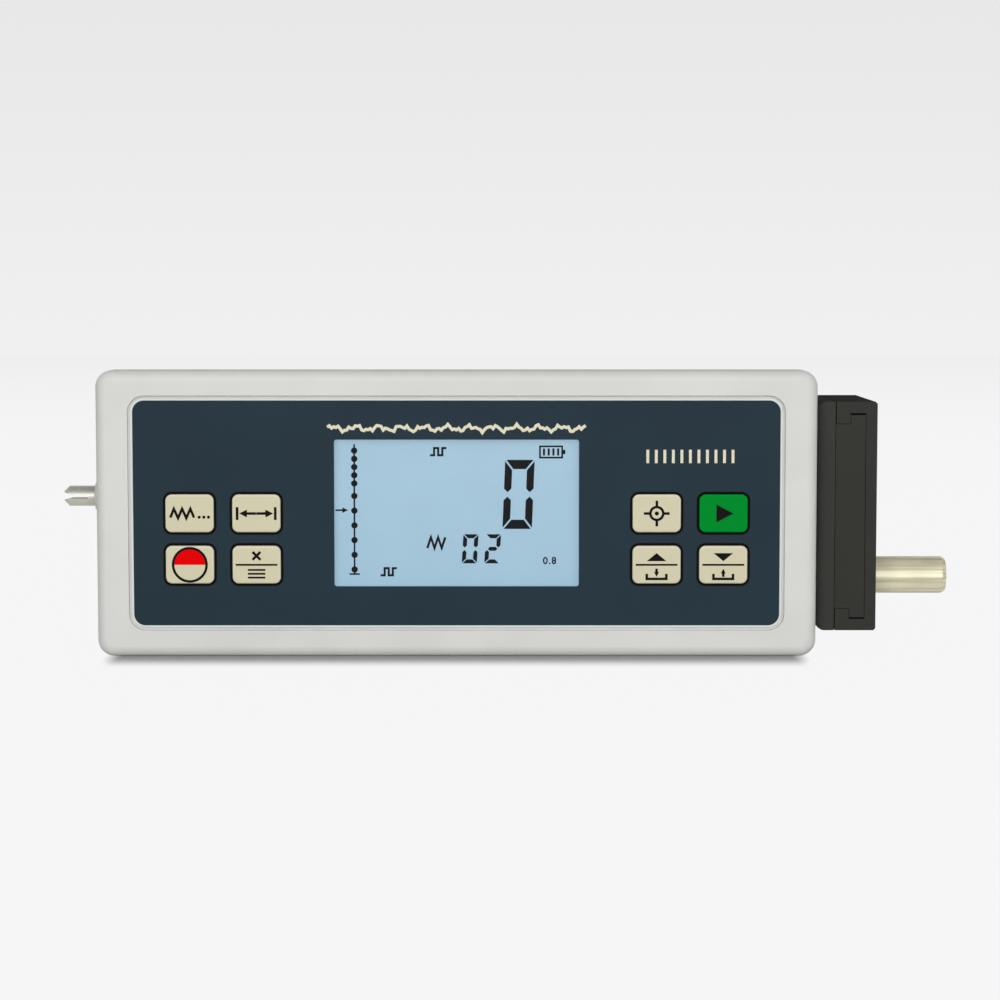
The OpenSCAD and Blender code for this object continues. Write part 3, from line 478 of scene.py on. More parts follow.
class Lay(Enum):
    """Direction of the fine lines that a tool leaves in metal."""

    ALONG_X = (60.0, 1.0, 1.0)
    ROUND_X = (1.0, 30.0, 30.0)
    NONE = (1.0, 1.0, 1.0)


@dataclass(frozen=True)
class Metal(Finish):
    """Bare or plated metal with the lines of its drawing, turning or casting."""

    lay: Lay = Lay.NONE
    line: float = 0.05 * MM
    relief: float = 0.004 * MM
    streak: float = 0.1
    streak_span: Point = (0.35, 0.65)
    streak_tone: float = 0.4
    metallic: float = 1.0
    tarnish_size: float = 5 * MM
    tarnish_span: Point = (0.35, 0.75)
    tarnish_tone: float = 0.86
    unevenness: float = 0.18

    def make(self) -> bpy.types.Material:
        """Builds the material.

        Returns:
            The material.
        """
        sheet = NodeSheet(self.name)
        lines = sheet.noise(self.line, stretch=self.lay.value)
        tarnish = sheet.noise(self.tarnish_size).rise(*self.tarnish_span)
        plain = sheet.mix(tarnish, self.colour, scaled(self.colour, self.tarnish_tone))
        streaks = lines.rise(*self.streak_span) * self.streak
        return sheet.shade(
            Base_Color=sheet.mix(streaks, plain, scaled(self.colour, self.streak_tone)),
            Roughness=self.roughness + lines.swing(self.unevenness),
            Metallic=self.metallic,
            Normal=sheet.bump(lines, self.relief),
        )


@dataclass(frozen=True)
class Ink(Finish):
    """Screen-printed ink with a slightly uneven coat."""

    coat_size: float = 0.3 * MM
    coat_span: Point = (0.4, 0.8)
    coat_tone: float = 0.9
    unevenness: float = 0.1

    def make(self) -> bpy.types.Material:
        """Builds the material.

        Returns:
            The material.
        """
        sheet = NodeSheet(self.name)
        coat = sheet.noise(self.coat_size)
        thin = scaled(self.colour, self.coat_tone)
        return sheet.shade(
            Base_Color=sheet.mix(coat.rise(*self.coat_span), self.colour, thin),
            Roughness=self.roughness + coat.swing(self.unevenness),
            Specular_IOR_Level=self.sheen,
        )


@dataclass(frozen=True)
class Lit(Finish):
    """Display layer that the backlight shines through."""

    glow: float = 0.66
    cloud_size: float = 9 * MM
    cloud_tone: float = 0.97

    def make(self) -> bpy.types.Material:
        """Builds the material.

        Returns:
            The material.
        """
        sheet = NodeSheet(self.name)
        cloud = sheet.noise(self.cloud_size)
        colour = sheet.mix(cloud.rise(*CLOUD_SPAN), scaled(self.colour, self.cloud_tone), self.colour)
        return sheet.shade(
            Base_Color=scaled(self.colour, 1 - self.glow),
            Roughness=self.roughness,
            Emission_Color=colour,
            Emission_Strength=self.glow,
        )


@dataclass(frozen=True)
class Clear(Finish):
    """Clear pane that shows what lies behind it and a faint gloss."""

    cover: float = 0.003
    haze_size: float = 6 * MM
    haze_tone: float = 0.95
    haze_blur: float = 0.03

    def make(self) -> bpy.types.Material:
        """Builds the material.

        Returns:
            The material.
        """
        sheet = NodeSheet(self.name)
        haze = sheet.noise(self.haze_size)
        dull = scaled(self.colour, self.haze_tone)
        return sheet.shade(
            Base_Color=sheet.mix(haze.rise(*CLOUD_SPAN), self.colour, dull),
            Roughness=self.roughness + self.haze_blur * haze,
            Specular_IOR_Level=self.sheen,
            Alpha=self.cover * (NOISE_MIDDLE + haze),
        )


@dataclass(frozen=True)
class Laminate(Finish):
    """Coated circuit board with copper lines under the coat."""

    copper: Colour = tone(40, 120, 66)
    line_scale: float = 120.0
    line_share: float = 0.05
    line_relief: float = 0.03 * MM
    line_blur: float = 0.1

    def make(self) -> bpy.types.Material:
        """Builds the material.

        Returns:
            The material.
        """
        sheet = NodeSheet(self.name)
        turn = {"Vector": sheet.place, "Rotation": (math.pi / 2, 0, 0)}
        upright = sheet.node("ShaderNodeMapping", {}, turn).outputs[0]
        courses = {"Vector": upright, "Scale": self.line_scale, "Mortar Size": self.line_share}
        brick = sheet.node("ShaderNodeTexBrick", {}, courses)
        lines = Wire(sheet, brick.outputs["Fac"])
        return sheet.shade(
            Base_Color=sheet.mix(lines, self.colour, self.copper),
            Roughness=self.roughness + self.line_blur * lines,
            Normal=sheet.bump(lines, self.line_relief),
        )


@dataclass(frozen=True)
class CellSleeve(Finish):
    """Plain sleeve of a dry cell with a pale band at its button end and a bare metal cap."""

    band: Colour
    button_x: float
    towards: float
    band_l: float = 9 * MM
    band_blur: float = 1.02
    cap_l: float = 1.2 * MM
    cap_blur: float = 1.05
    cap: Colour = tone(205, 204, 200)
    scuff_size: float = 2 * MM
    scuff_span: Point = (0.4, 0.8)
    scuff_tone: float = 0.85
    unevenness: float = 0.1

    def make(self) -> bpy.types.Material:
        """Builds the material.

        Returns:
            The material.
        """
        sheet = NodeSheet(self.name)
        x, _, _ = sheet.along()
        depth = self.towards * (self.button_x - x)
        cap = 1.0 - depth.rise(self.cap_l, self.cap_blur * self.cap_l)
        band = 1.0 - depth.rise(self.band_l, self.band_blur * self.band_l)
        scuff = sheet.noise(self.scuff_size)
        worn = scaled(self.colour, self.scuff_tone)
        sleeve = sheet.mix(scuff.rise(*self.scuff_span), self.colour, worn)
        return sheet.shade(
            Base_Color=sheet.mix(cap, sheet.mix(band, sleeve, self.band), self.cap),
            Roughness=self.roughness + scuff.swing(self.unevenness),
            Metallic=cap,
        )


class Draft:
    """Closed flat pieces that stand on one upright plane and face the front."""

    def __init__(self, face_y: float, rise: float, centre: Point = (0.0, 0.0)) -> None:
        """Starts an empty draft.

        Args:
            face_y: Plane that the pieces stand on.
            rise: How far they stand out to the front.
            centre: Point in XZ that all outlines are measured from.
        """
        self.mesh = bmesh.new()
        self.face_y = face_y
        self.rise = rise
        self.centre = centre

    def _loop(self, outline: Outline, y: float) -> list[bmesh.types.BMVert]:
        """Vertices of an outline on one plane."""
        return [self.mesh.verts.new((self.centre[0] + u, y, self.centre[1] + v)) for u, v in outline]

    def plate(self, outline: Outline) -> None:
        """Adds a plate with a closed outline.

        Args:
            outline: Corners in order, from the draft's centre.
        """
        front = self._loop(outline, self.face_y - self.rise)
        back = self._loop(outline, self.face_y)
        self.mesh.faces.new(front)
        self.mesh.faces.new(back[::-1])
        self._walls(front, back)

    def _walls(self, front: list[bmesh.types.BMVert], back: list[bmesh.types.BMVert]) -> None:
        """Joins two loops with a band of faces.

        Args:
            front: Vertices of the first loop.
            back: Vertices of the second one, in the same order.
        """
        for i in range(len(front)):
            j = (i + 1) % len(front)
            self.mesh.faces.new((front[j], front[i], back[i], back[j]))

    def ring(self, outer: Outline, inner: Outline) -> None:
        """Adds a closed frame between two outlines with equally many corners.

        Args:
            outer: Outside corners in order.
            inner: Inside corners in the same order.
        """
        loops = [
            self._loop(outer, self.face_y - self.rise),
            self._loop(inner, self.face_y - self.rise),
            self._loop(inner, self.face_y),
            self._loop(outer, self.face_y),
        ]
        for a, b in zip(loops, loops[1:] + loops[:1]):
            self._walls(a, b)

    def bar(self, u: Point, v: Point) -> None:
        """Adds a rectangle between two u and two v values."""
        self.plate(corners_of(u, v))

    def frame(self, u: Point, v: Point, line: float) -> None:
        """Adds a rectangle drawn as a line.

        Args:
            u: Its left and right.
            v: Its foot and top.
            line: Width of the line.
        """
        inner = (u[0] + line, u[1] - line), (v[0] + line, v[1] - line)
        self.ring(corners_of(u, v), corners_of(*inner))

    def hoop(self, at: Point, outer: float, line: float) -> None:
        """Adds a circle drawn as a line inside its outer radius."""
        self.ring(arc(at, outer, 0, 360), arc(at, outer - line, 0, 360))

    def stroke(self, path: Outline, line: float) -> None:
        """Adds a line of even width along a path.

        Args:
            path: Points of the line's middle.
            line: Width of the line.
        """
        points = [Vector(p) for p in path]
        left, right = [], []
        for i, point in enumerate(points):
            before = (point - points[i - 1]).normalized() if i else None
            after = (points[i + 1] - point).normalized() if i + 1 < len(points) else None
            heading = ((before or after) + (after or before)).normalized()
            side = Vector((-heading.y, heading.x))
            reach = line / 2 / max(heading.dot(after or before), MITRE_LIMIT)
            left.append(tuple(point + side * reach))
            right.append(tuple(point - side * reach))
        self.plate(right + left[::-1])

    def arrow(self, tail: Point, tip: Point, line: float, head: float) -> None:
        """Adds an arrow as one outline.

        Args:
            tail: Where it starts.
            tip: Where it points.
            line: Width of its shaft.
            head: Length and width of its head.
        """
        start, end = Vector(tail), Vector(tip)
        ahead = (end - start).normalized()
        side = Vector((-ahead.y, ahead.x))
        neck = end - ahead * head
        half = line / 2
        outline = [
            start - side * half,
            neck - side * half,
            neck - side * head / 2,
            end,
            neck + side * head / 2,
            neck + side * half,
            start + side * half,
        ]
        self.plate([tuple(p) for p in outline])

    def finish(
        self, name: str, finish: bpy.types.Material, body: str, slot: str | None = None
    ) -> None:
        """Turns the draft into a piece that rides a body.

        Args:
            name: The piece's name.
            finish: Its material.
            body: The body that it rides.
            slot: Not used.
        """
        settle(closed_piece(name, self.mesh, finish), body)


def closed_piece(name: str, mesh: bmesh.types.BMesh, finish: bpy.types.Material) -> bpy.types.Object:
    """Turns a finished mesh into an object with its faces outwards.

    Args:
        name: The object's name.
        mesh: The mesh, which is given up.
        finish: Its material.

    Returns:
        The object, not in the scene yet.
    """
    bmesh.ops.recalc_face_normals(mesh, faces=mesh.faces)
    data = bpy.data.meshes.new(name)
    mesh.to_mesh(data)
    mesh.free()
    data.materials.append(finish)
    return bpy.data.objects.new(name, data)


def settle(piece: bpy.types.Object, body: str) -> bpy.types.Object:
    """Puts a finished piece into the scene, on its body.

    Args:
        piece: The new object, with its place in its mesh.
        body: The body that it rides.

    Returns:
        The piece.
    """
    if piece.name not in bpy.context.scene.collection.objects:
        bpy.context.scene.collection.objects.link(piece)
    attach(piece, body)
    LOG.info("piece %s rides %s", piece.name, body)
    return piece


def dress(finish: Finish, *nodes: str) -> bpy.types.Material:
    """Gives one finish to solids of the frame.

    Args:
        finish: The finish.
        nodes: Names of the solids.

    Returns:
        The finish's material.
    """
    material = finish.make()
    for name in nodes:
        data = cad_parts[name].data
        data.materials.clear()
        data.materials.append(material)
        LOG.info("node %s is %s", name, finish.name)
    return material


def middle(node: str) -> Vector:
    """Middle of a solid's box."""
    low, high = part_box(node)
    return (low + high) / 2


def half_size(node: str) -> Vector:
    """Half of a solid's box."""
    low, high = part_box(node)
    return (high - low) / 2


def corners_of(u: Point, v: Point) -> Outline:
    """Corners of a rectangle between two u and two v values."""
    return [(u[0], v[0]), (u[1], v[0]), (u[1], v[1]), (u[0], v[1])]


def arc(centre: Point, radius: float, start: float, end: float, steps: int = 48) -> Outline:
    """Points along a circular arc.

    Args:
        centre: Middle of the circle.
        radius: Its radius.
        start: Angle of the first point, in degrees.
        end: Angle of the last point, left out where the arc closes.
        steps: Number of parts that the arc is cut into.

    Returns:
        The points in order.
    """
    closed = abs(end - start) >= 360
    count = steps if closed else steps + 1
    angles = [math.radians(start + (end - start) * i / steps) for i in range(count)]
    return [(centre[0] + radius * math.cos(a), centre[1] + radius * math.sin(a)) for a in angles]


SEGMENTS: dict[str, str] = {
    "0": "abcdef",
    "2": "abged",
}


def segment(bar: str, size: Point, line: Point) -> Outline:
    """Outline of one bar of a seven-bar figure.

    Args:
        bar: Letter of the bar, a to g, from the top round to the middle.
        size: Width and height of the figure.
        line: Width of an upright bar and of a level one.

    Returns:
        The bar's corners, from the figure's lower left corner.
    """
    width, height = size
    side, level = line
    gap, waist = SEGMENT_GAP * side, SEGMENT_WAIST * side
    if bar == "g":
        u0, u1, v, half = side / 2 + gap, width - side / 2 - gap, height / 2, level / 2
        return [
            (u0, v), (u0 + side / 2, v - half), (u1 - side / 2, v - half),
            (u1, v), (u1 - side / 2, v + half), (u0 + side / 2, v + half),
        ]
    if bar in "ad":
        out, inner = (height, height - level) if bar == "a" else (0.0, level)
        return [(gap, out), (side + gap, inner), (width - side - gap, inner), (width - gap, out)]
    out, back = (height, -1) if bar in "bf" else (0.0, 1)
    far, near = (width, width - side) if bar in "bc" else (0.0, side)
    tip = height / 2 - back * waist
    shoulder = tip - back * side / 2
    return [
        (far, out + back * gap),
        (near, out + back * (level + gap)),
        (near, shoulder),
        ((far + near) / 2, tip),
        (far, shoulder),
    ]


class Solid(Enum):
    """Solid that a row repeats."""

    DOT = "dot"
    BAR = "bar"


class NodeTree(NodeMaker):
    """Geometry Nodes tree that is built here and baked into a plain mesh."""

    def __init__(self, name: str) -> None:
        """Starts an empty tree with one geometry output.

        Args:
            name: The tree's name.
        """
        self.tree = bpy.data.node_groups.new(name, "GeometryNodeTree")
        self.tree.interface.new_socket("Geometry", in_out="OUTPUT", socket_type="NodeSocketGeometry")
        self.inputs: dict[str, str] = {}

    def add_input(self, name: str, kind: str) -> None:
        """Adds a named input of a socket type."""
        socket = self.tree.interface.new_socket(name, in_out="INPUT", socket_type=kind)
        self.inputs[name] = socket.identifier

    def close(self, geometry: bpy.types.NodeSocket, material: bpy.types.NodeSocket) -> None:
        """Ends the tree in real geometry with its material.

        Args:
            geometry: What the tree has made.
            material: The material input.
        """
        real = self.node("GeometryNodeRealizeInstances", {}, {0: geometry})
        given = {"Geometry": real.outputs[0], "Material": material}
        dressed = self.node("GeometryNodeSetMaterial", {}, given)
        self.node("NodeGroupOutput", {}, {0: dressed.outputs[0]})

    def bake(self, name: str, **values: object) -> bpy.types.Object:
        """Runs the tree and keeps its result as a plain mesh.

        Args:
            name: Name of the new object.
            values: The tree's inputs by name, with underscores for spaces.

        Returns:
            The object, in the scene and without its modifier.
        """
        piece = bpy.data.objects.new(name, bpy.data.meshes.new(name))
        bpy.context.scene.collection.objects.link(piece)
        modifier = piece.modifiers.new(name, "NODES")
        modifier.node_group = self.tree
        for key, value in values.items():
            modifier[self.inputs[key.replace("_", " ")]] = value
        graph = bpy.context.evaluated_depsgraph_get()
        data = bpy.data.meshes.new_from_object(piece.evaluated_get(graph))
        piece.modifiers.remove(modifier)
        piece.data = data
        return piece


class RowTree(NodeTree):
    """Tree that sets equal dots or bars in a straight row."""

    dot_sides: int = 24

    def __init__(self, solid: Solid) -> None:
        """Builds the tree.

        Args:
            solid: What the row repeats.
        """
        super().__init__(f"row_of_{solid.value}s")
        for name, kind in (
            ("Count", "NodeSocketInt"),
            ("Start", "NodeSocketVector"),
            ("Step", "NodeSocketVector"),
            ("Size", "NodeSocketVector"),
            ("Material", "NodeSocketMaterial"),
        ):
            self.add_input(name, kind)
        given = self.node("NodeGroupInput").outputs
        line = self.node(
            "GeometryNodeMeshLine",
            {"mode": "OFFSET"},
            {"Count": given["Count"], "Start Location": given["Start"], "Offset": given["Step"]},
        )
        placed = self.node(
            "GeometryNodeInstanceOnPoints",
            {},
            {"Points": line.outputs[0], "Instance": self.unit(solid), "Scale": given["Size"]},
        )
        self.close(placed.outputs[0], given["Material"])

    def unit(self, solid: Solid) -> bpy.types.NodeSocket:
        """Solid of unit size that faces the front.

        Args:
            solid: Which solid it is.

        Returns:
            The solid's geometry.
        """
        if solid is Solid.BAR:
            return self.node("GeometryNodeMeshCube", {}, {"Size": (1, 1, 1)}).outputs["Mesh"]
        size = {"Vertices": self.dot_sides, "Radius": 0.5, "Depth": 1.0}
        disc = self.node("GeometryNodeMeshCylinder", {}, size).outputs["Mesh"]
        turn = {"Geometry": disc, "Rotation": (math.pi / 2, 0, 0)}
        return self.node("GeometryNodeTransform", {}, turn).outputs[0]


class ThreadTree(NodeTree):
    """Tree that winds a ridge round an axis along X."""

    steps_a_turn: int = 24
    ridge_sides: int = 4

    def __init__(self) -> None:
        """Builds the tree."""
        super().__init__("thread_ridge")
        for name, kind in (
            ("Turns", "NodeSocketFloat"),
            ("Radius", "NodeSocketFloat"),
            ("Length", "NodeSocketFloat"),
            ("Ridge", "NodeSocketFloat"),
            ("Start", "NodeSocketVector"),
            ("Material", "NodeSocketMaterial"),
        ):
            self.add_input(name, kind)
        given = self.node("NodeGroupInput").outputs
        spiral = self.node(
            "GeometryNodeCurveSpiral",
            {},
            {
                "Resolution": self.steps_a_turn,
                "Rotations": given["Turns"],
                "Start Radius": given["Radius"],
                "End Radius": given["Radius"],
                "Height": given["Length"],
            },
        )
        profile = {"Resolution": self.ridge_sides, "Radius": given["Ridge"]}
        section = self.node("GeometryNodeCurvePrimitiveCircle", {}, profile)
        ridge = self.node(
            "GeometryNodeCurveToMesh",
            {},
            {"Curve": spiral.outputs[0], "Profile Curve": section.outputs[0], "Fill Caps": True},
        )
        laid = self.node(
            "GeometryNodeTransform",
            {},
            {"Geometry": ridge.outputs[0], "Rotation": (0, math.pi / 2, 0), "Translation": given["Start"]},
        )
        self.close(laid.outputs[0], given["Material"])


@dataclass
class Housing:
    """Grey shells, their screws and the battery door."""

    plastic: Finish = Moulded("case_plastic", tone(220, 220, 216), 0.5)
    screw: Finish = Metal("case_screw_steel", tone(150, 151, 154), 0.38)
    small_screw: Finish = Metal("set_screw_steel", tone(120, 120, 123), 0.4)

    def build(self) -> None:
        """Dresses the shells, the door and the screws."""
        dress(self.plastic, "front_shell", "rear_shell", "battery_door")
        dress(self.screw, "case_screws", "board_screws", "rail_screws", "motor_screws")
        dress(self.small_screw, "coupling_screws", "tube_set_screw")


@dataclass
class Panel:
    """Dark front film with its printed marks, and the clear pane behind it."""

    film_blue: Colour = tone(39, 55, 65)
    edge_white: Colour = tone(226, 230, 226)
    key_line_w: float = 0.5 * MM
    key_flange: float = 0.7 * MM
    key_corner: float = 1.75 * MM
    corner: float = 2.6 * MM
    border_w: float = 0.35 * MM
    ink_t: float = 0.03 * MM
    trace_l: float = 50 * MM
    trace_h: float = 2.3 * MM
    trace_in: float = 5.75 * MM
    trace_line: float = 0.58 * MM
    trace_points: int = 121
    trace_waves: tuple[tuple[float, float, float], ...] = ((71, 1.0, 0), (163, 0.7, 1), (311, 0.5, 0))
    scale_in: float = 11.2 * MM
    scale_ticks: int = 11
    scale_step: float = 1.65 * MM
    tick: Point = (0.55 * MM, 2.6 * MM)
    ink: Finish = Ink("panel_cream_ink", tone(232, 226, 198), 0.5, sheen=0.2)
    pane: Finish = Clear("window_clear", tone(236, 244, 248), 0.06, sheen=0.04)

    def build(self, bars: RowTree) -> None:
        """Dresses the film and prints its marks.

        Args:
            bars: Tree for rows of bars.
        """
        centre, half = middle("front_panel"), half_size("front_panel")
        block, at, key = middle("key_bezel_right"), middle("key_up"), half_size("key_up")
        reach = self.key_line_w - self.key_flange
        film = PanelFilm(
            name="panel_film",
            colour=self.film_blue,
            roughness=0.45,
            sheen=0.05,
            border=self.edge_white,
            centre=(centre.x, centre.z),
            half=(half.x, half.z),
            corner=self.corner,
            border_w=self.border_w,
            key_centre=(centre.x, block.z),
            key_half=(key.x + reach, key.z + reach),
            key_corner=self.key_corner,
            key_folds=((block.x - centre.x, 0.0), (abs(at.x - block.x), abs(at.z - block.z))),
        )
        dress(film, "front_panel")
        dress(self.pane, "display_window")
        face_y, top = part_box("front_panel")[0].y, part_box("front_panel")[1].z
        cream = self.ink.make()
        self.print_trace(face_y, top - self.trace_in, cream)
        self.print_scale(face_y, top - self.scale_in, cream, bars)

    def print_trace(self, face_y: float, level: float, cream: bpy.types.Material) -> None:
        """Prints a roughness trace over the window.

        Args:
            face_y: Front of the film.
            level: Height of the trace's middle.
            cream: The ink.
        """
        draft = Draft(face_y, self.ink_t, (middle("display_window").x, level))
        reach = (self.trace_h - self.trace_line) / 2
        most = sum(size for _, size, _ in self.trace_waves)
        path = []
        for i in range(self.trace_points):
            share = i / (self.trace_points - 1)
            height = sum(size * math.sin(rate * share + start) for rate, size, start in self.trace_waves)
            path.append(((share - 0.5) * self.trace_l, reach * height / most))
        draft.stroke(path, self.trace_line)
        draft.finish("panel_trace", cream, "housing", "key_cream")

    def print_scale(self, face_y: float, height: float, cream: bpy.types.Material, bars: RowTree) -> None:
        """Prints a short row of ticks over the right keys.

        Args:
            face_y: Front of the film.
            height: Height of the ticks' middle.
            cream: The ink.
            bars: Tree for rows of bars.
        """
        start = middle("key_bezel_right").x - self.scale_step * (self.scale_ticks - 1) / 2
        piece = bars.bake(
            "panel_scale",
            Count=self.scale_ticks,
            Start=(start, face_y - self.ink_t / 2, height),
            Step=(self.scale_step, 0.0, 0.0),
            Size=(self.tick[0], self.ink_t, self.tick[1]),
            Material=cream,
        )
        settle(piece, "housing")


@dataclass(frozen=True)
class Figures:
    """Row of seven-bar figures on the display.

    Attributes:
        text: Digits that the bars can show.
        corner: Lower left corner of the first figure.
        size: Width and height of a figure.
        line: Width of an upright bar and of a level one.
        gap: Space between two figures.
        slant: Lean of the figures as sideways run over height.
    """

    text: str
    corner: Point
    size: Point
    line: Point
    gap: float
    slant: float

    def draw(self, draft: Draft) -> None:
        """Draws the figures.

        Args:
            draft: Where they are drawn.
        """
        left, foot = self.corner
        for figure in self.text:
            for bar in SEGMENTS[figure]:
                outline = segment(bar, self.size, self.line)
                draft.plate([(left + u + self.slant * v, foot + v) for u, v in outline])
            left += self.size[0] + self.gap


@dataclass
class Display:
    """Lit display glass with its dark segments."""

    mark_t: float = 0.04 * MM
    line: float = 0.32 * MM
    sign_line: float = 0.42 * MM
    sign_at: tuple[Point, ...] = ((-3.6 * MM, 11.8 * MM), (-13.3 * MM, -11.7 * MM))
    sign_step: Point = (0.8 * MM, 0.7 * MM)
    zigzag_line: float = 0.48 * MM
    zigzag_u: float = -5.75 * MM
    zigzag_v: Point = (-7.05 * MM, -4.95 * MM)
    zigzag_step: float = 0.7 * MM
    zigzag_points: int = 6
    small_at: Point = (16.8 * MM, -9.5 * MM)
    small_half: Point = (0.48 * MM, 0.72 * MM)
    small_line: float = 0.28 * MM
    small_space: float = 1.3
    scale_u: float = -19.96 * MM
    fine_v: float = 12.0 * MM
    fine_step: float = 1.6 * MM
    fine_count: int = 5
    coarse_v: float = 3.15 * MM
    coarse_step: float = 2.88 * MM
    coarse_count: int = 6
    dot_d: float = 1.25 * MM
    foot_v: float = -12.15 * MM
    foot_half: float = 1.0 * MM
    line_share: float = 0.8
    pointer_u: Point = (-23.66 * MM, -21.2 * MM)
    pointer_v: float = 0.37 * MM
    pointer_head: float = 1.1 * MM
    battery_u: Point = (16.04 * MM, 20.7 * MM)
    battery_v: Point = (10.47 * MM, 13.0 * MM)
    battery_line: float = 0.34 * MM
    battery_tip: float = 0.45 * MM
    battery_bars: int = 4
    battery_step: float = 0.92 * MM
    battery_bar_w: float = 0.42 * MM
    battery_room: float = 1.7
    ink: Finish = Ink("display_segment", tone(16, 18, 21), 0.45, sheen=0.05)
    large: Figures = Figures(
        "0", (8.9 * MM, -3.3 * MM), (5.75 * MM, 13.5 * MM), (1.43 * MM, 1.8 * MM), 1 * MM, 0.04
    )
    medium: Figures = Figures(
        "02", (0.95 * MM, -10.05 * MM), (2.95 * MM, 5.7 * MM), (0.8 * MM, 0.78 * MM), 1.45 * MM, 0.06
    )

    def build(self, dots: RowTree, bars: RowTree) -> None:
        """Dresses the display's layers and draws its segments.

        Args:
            dots: Tree for rows of dots.
            bars: Tree for rows of bars.
        """
        dress(Lit("display_glass", tone(153, 189, 210), 0.3), "lcd_glass")
        dress(Lit("backlight_white", tone(235, 240, 244), 0.4), "lcd_backlight")
        dress(Moulded("frame_white", tone(228, 228, 225), 0.5), "lcd_frame")
        dress(Moulded("strip_rubber", tone(205, 150, 158), 0.7), "lcd_connectors")
        dark = self.ink.make()
        centre = middle("display_window")
        face_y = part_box("lcd_glass")[0].y
        self.draw_scale(dots, dark, centre, face_y)
        self.draw_battery(bars, dark, centre, face_y)
        self.draw_figures(dark, centre, face_y)

    def draw_scale(self, dots: RowTree, dark: bpy.types.Material, centre: Vector, face_y: float) -> None:
        """Draws the upright dotted scale with its foot and pointer.

        Args:
            dots: Tree for rows of dots.
            dark: The segments' material.
            centre: Middle of the window.
            face_y: Front of the display glass.
        """
        rows = (
            ("scale_dots_fine", self.fine_v, self.fine_step, self.fine_count),
            ("scale_dots_coarse", self.coarse_v, self.coarse_step, self.coarse_count),
        )
        for name, top, step, count in rows:
            piece = dots.bake(
                name,
                Count=count,
                Start=(centre.x + self.scale_u, face_y - self.mark_t / 2, centre.z + top),
                Step=(0.0, 0.0, -step),
                Size=(self.dot_d, self.mark_t, self.dot_d),
                Material=dark,
            )
            settle(piece, "housing")
        draft = Draft(face_y, self.line_share * self.mark_t, (centre.x, centre.z))
        u, v, half = self.scale_u, self.foot_v, self.line / 2
        draft.bar((u - half, u + half), (v, self.fine_v + self.dot_d))
        draft.bar((u - self.foot_half, u + self.foot_half), (v - half, v + half))
        tail, tip = ((end, self.pointer_v) for end in self.pointer_u)
        draft.arrow(tail, tip, self.line, self.pointer_head)
        draft.finish("scale_line", dark, "housing", "black_plastic")

    def draw_battery(self, bars: RowTree, dark: bpy.types.Material, centre: Vector, face_y: float) -> None:
        """Draws the battery sign with its bars.

        Args:
            bars: Tree for rows of bars.
            dark: The segments' material.
            centre: Middle of the window.
            face_y: Front of the display glass.
        """
        (left, right), (low, high) = self.battery_u, self.battery_v
        draft = Draft(face_y, self.mark_t, (centre.x, centre.z))
        draft.frame(self.battery_u, self.battery_v, self.battery_line)
        third = (high - low) / 3
        draft.bar((right, right + self.battery_tip), (low + third, high - third))
        draft.finish("battery_sign", dark, "housing", "black_plastic")
        first = (left + right - (self.battery_bars - 1) * self.battery_step) / 2
        bar_h = high - low - 2 * self.battery_room * self.battery_line
        piece = bars.bake(
            "battery_sign_bars",
            Count=self.battery_bars,
            Start=(centre.x + first, face_y - self.mark_t / 2, centre.z + (low + high) / 2),
            Step=(self.battery_step, 0.0, 0.0),
            Size=(self.battery_bar_w, self.mark_t, bar_h),
            Material=dark,
        )
        settle(piece, "housing")

    def draw_figures(self, dark: bpy.types.Material, centre: Vector, face_y: float) -> None:
        """Draws the figures, the zigzag and the two small trace signs.

        Args:
            dark: The segments' material.
            centre: Middle of the window.
            face_y: Front of the display glass.
        """
        draft = Draft(face_y, self.mark_t, (centre.x, centre.z))
        self.large.draw(draft)
        self.medium.draw(draft)
        turns = range(self.zigzag_points)
        zigzag = [(self.zigzag_u + i * self.zigzag_step, self.zigzag_v[i % 2]) for i in turns]
        draft.stroke(zigzag, self.zigzag_line)
        step, high = self.sign_step
        square = [(-2, -1), (-1, -1), (-1, 1), (0, 1), (0, -1), (1, -1), (1, 1), (2, 1)]
        for u, v in self.sign_at:
            draft.stroke([(u + a * step, v + b * high) for a, b in square], self.sign_line)
        self.draw_small(draft)
        draft.finish("display_figures", dark, "housing", "black_plastic")

    def draw_small(self, draft: Draft) -> None:
        """Draws the small length at the lower right: a nought, a point and an eight.

        Args:
            draft: Where it is drawn.
        """
        (u, v), (half_w, half_h), line = self.small_at, self.small_half, self.small_line
        circle = arc((0.0, 0.0), 1.0, 0, 360)
        outer = [(u + half_w * (1 + a), v + half_h * b) for a, b in circle]
        inner = [(u + half_w + (half_w - line) * a, v + (half_h - line) * b) for a, b in circle]
        draft.ring(outer, inner)
        space = self.small_space * line
        point = u + 2 * half_w + space
        draft.bar((point - line / 2, point + line / 2), (v - half_h, v - half_h + line))
        eight = point + space + half_w
        bead = (half_h + line / 2) / 2
        for side in (-1, 1):
            draft.hoop((eight, v + side * (half_h - bead)), bead, line)


class Sign(Enum):
    """Sign that a key carries."""

    TRACE = "key_parameter"
    SPAN = "key_cutoff"
    POWER = "key_power"
    MENU = "key_menu"
    TARGET = "key_calibrate"
    RUN = "key_start"
    UP = "key_up"
    DOWN = "key_down"


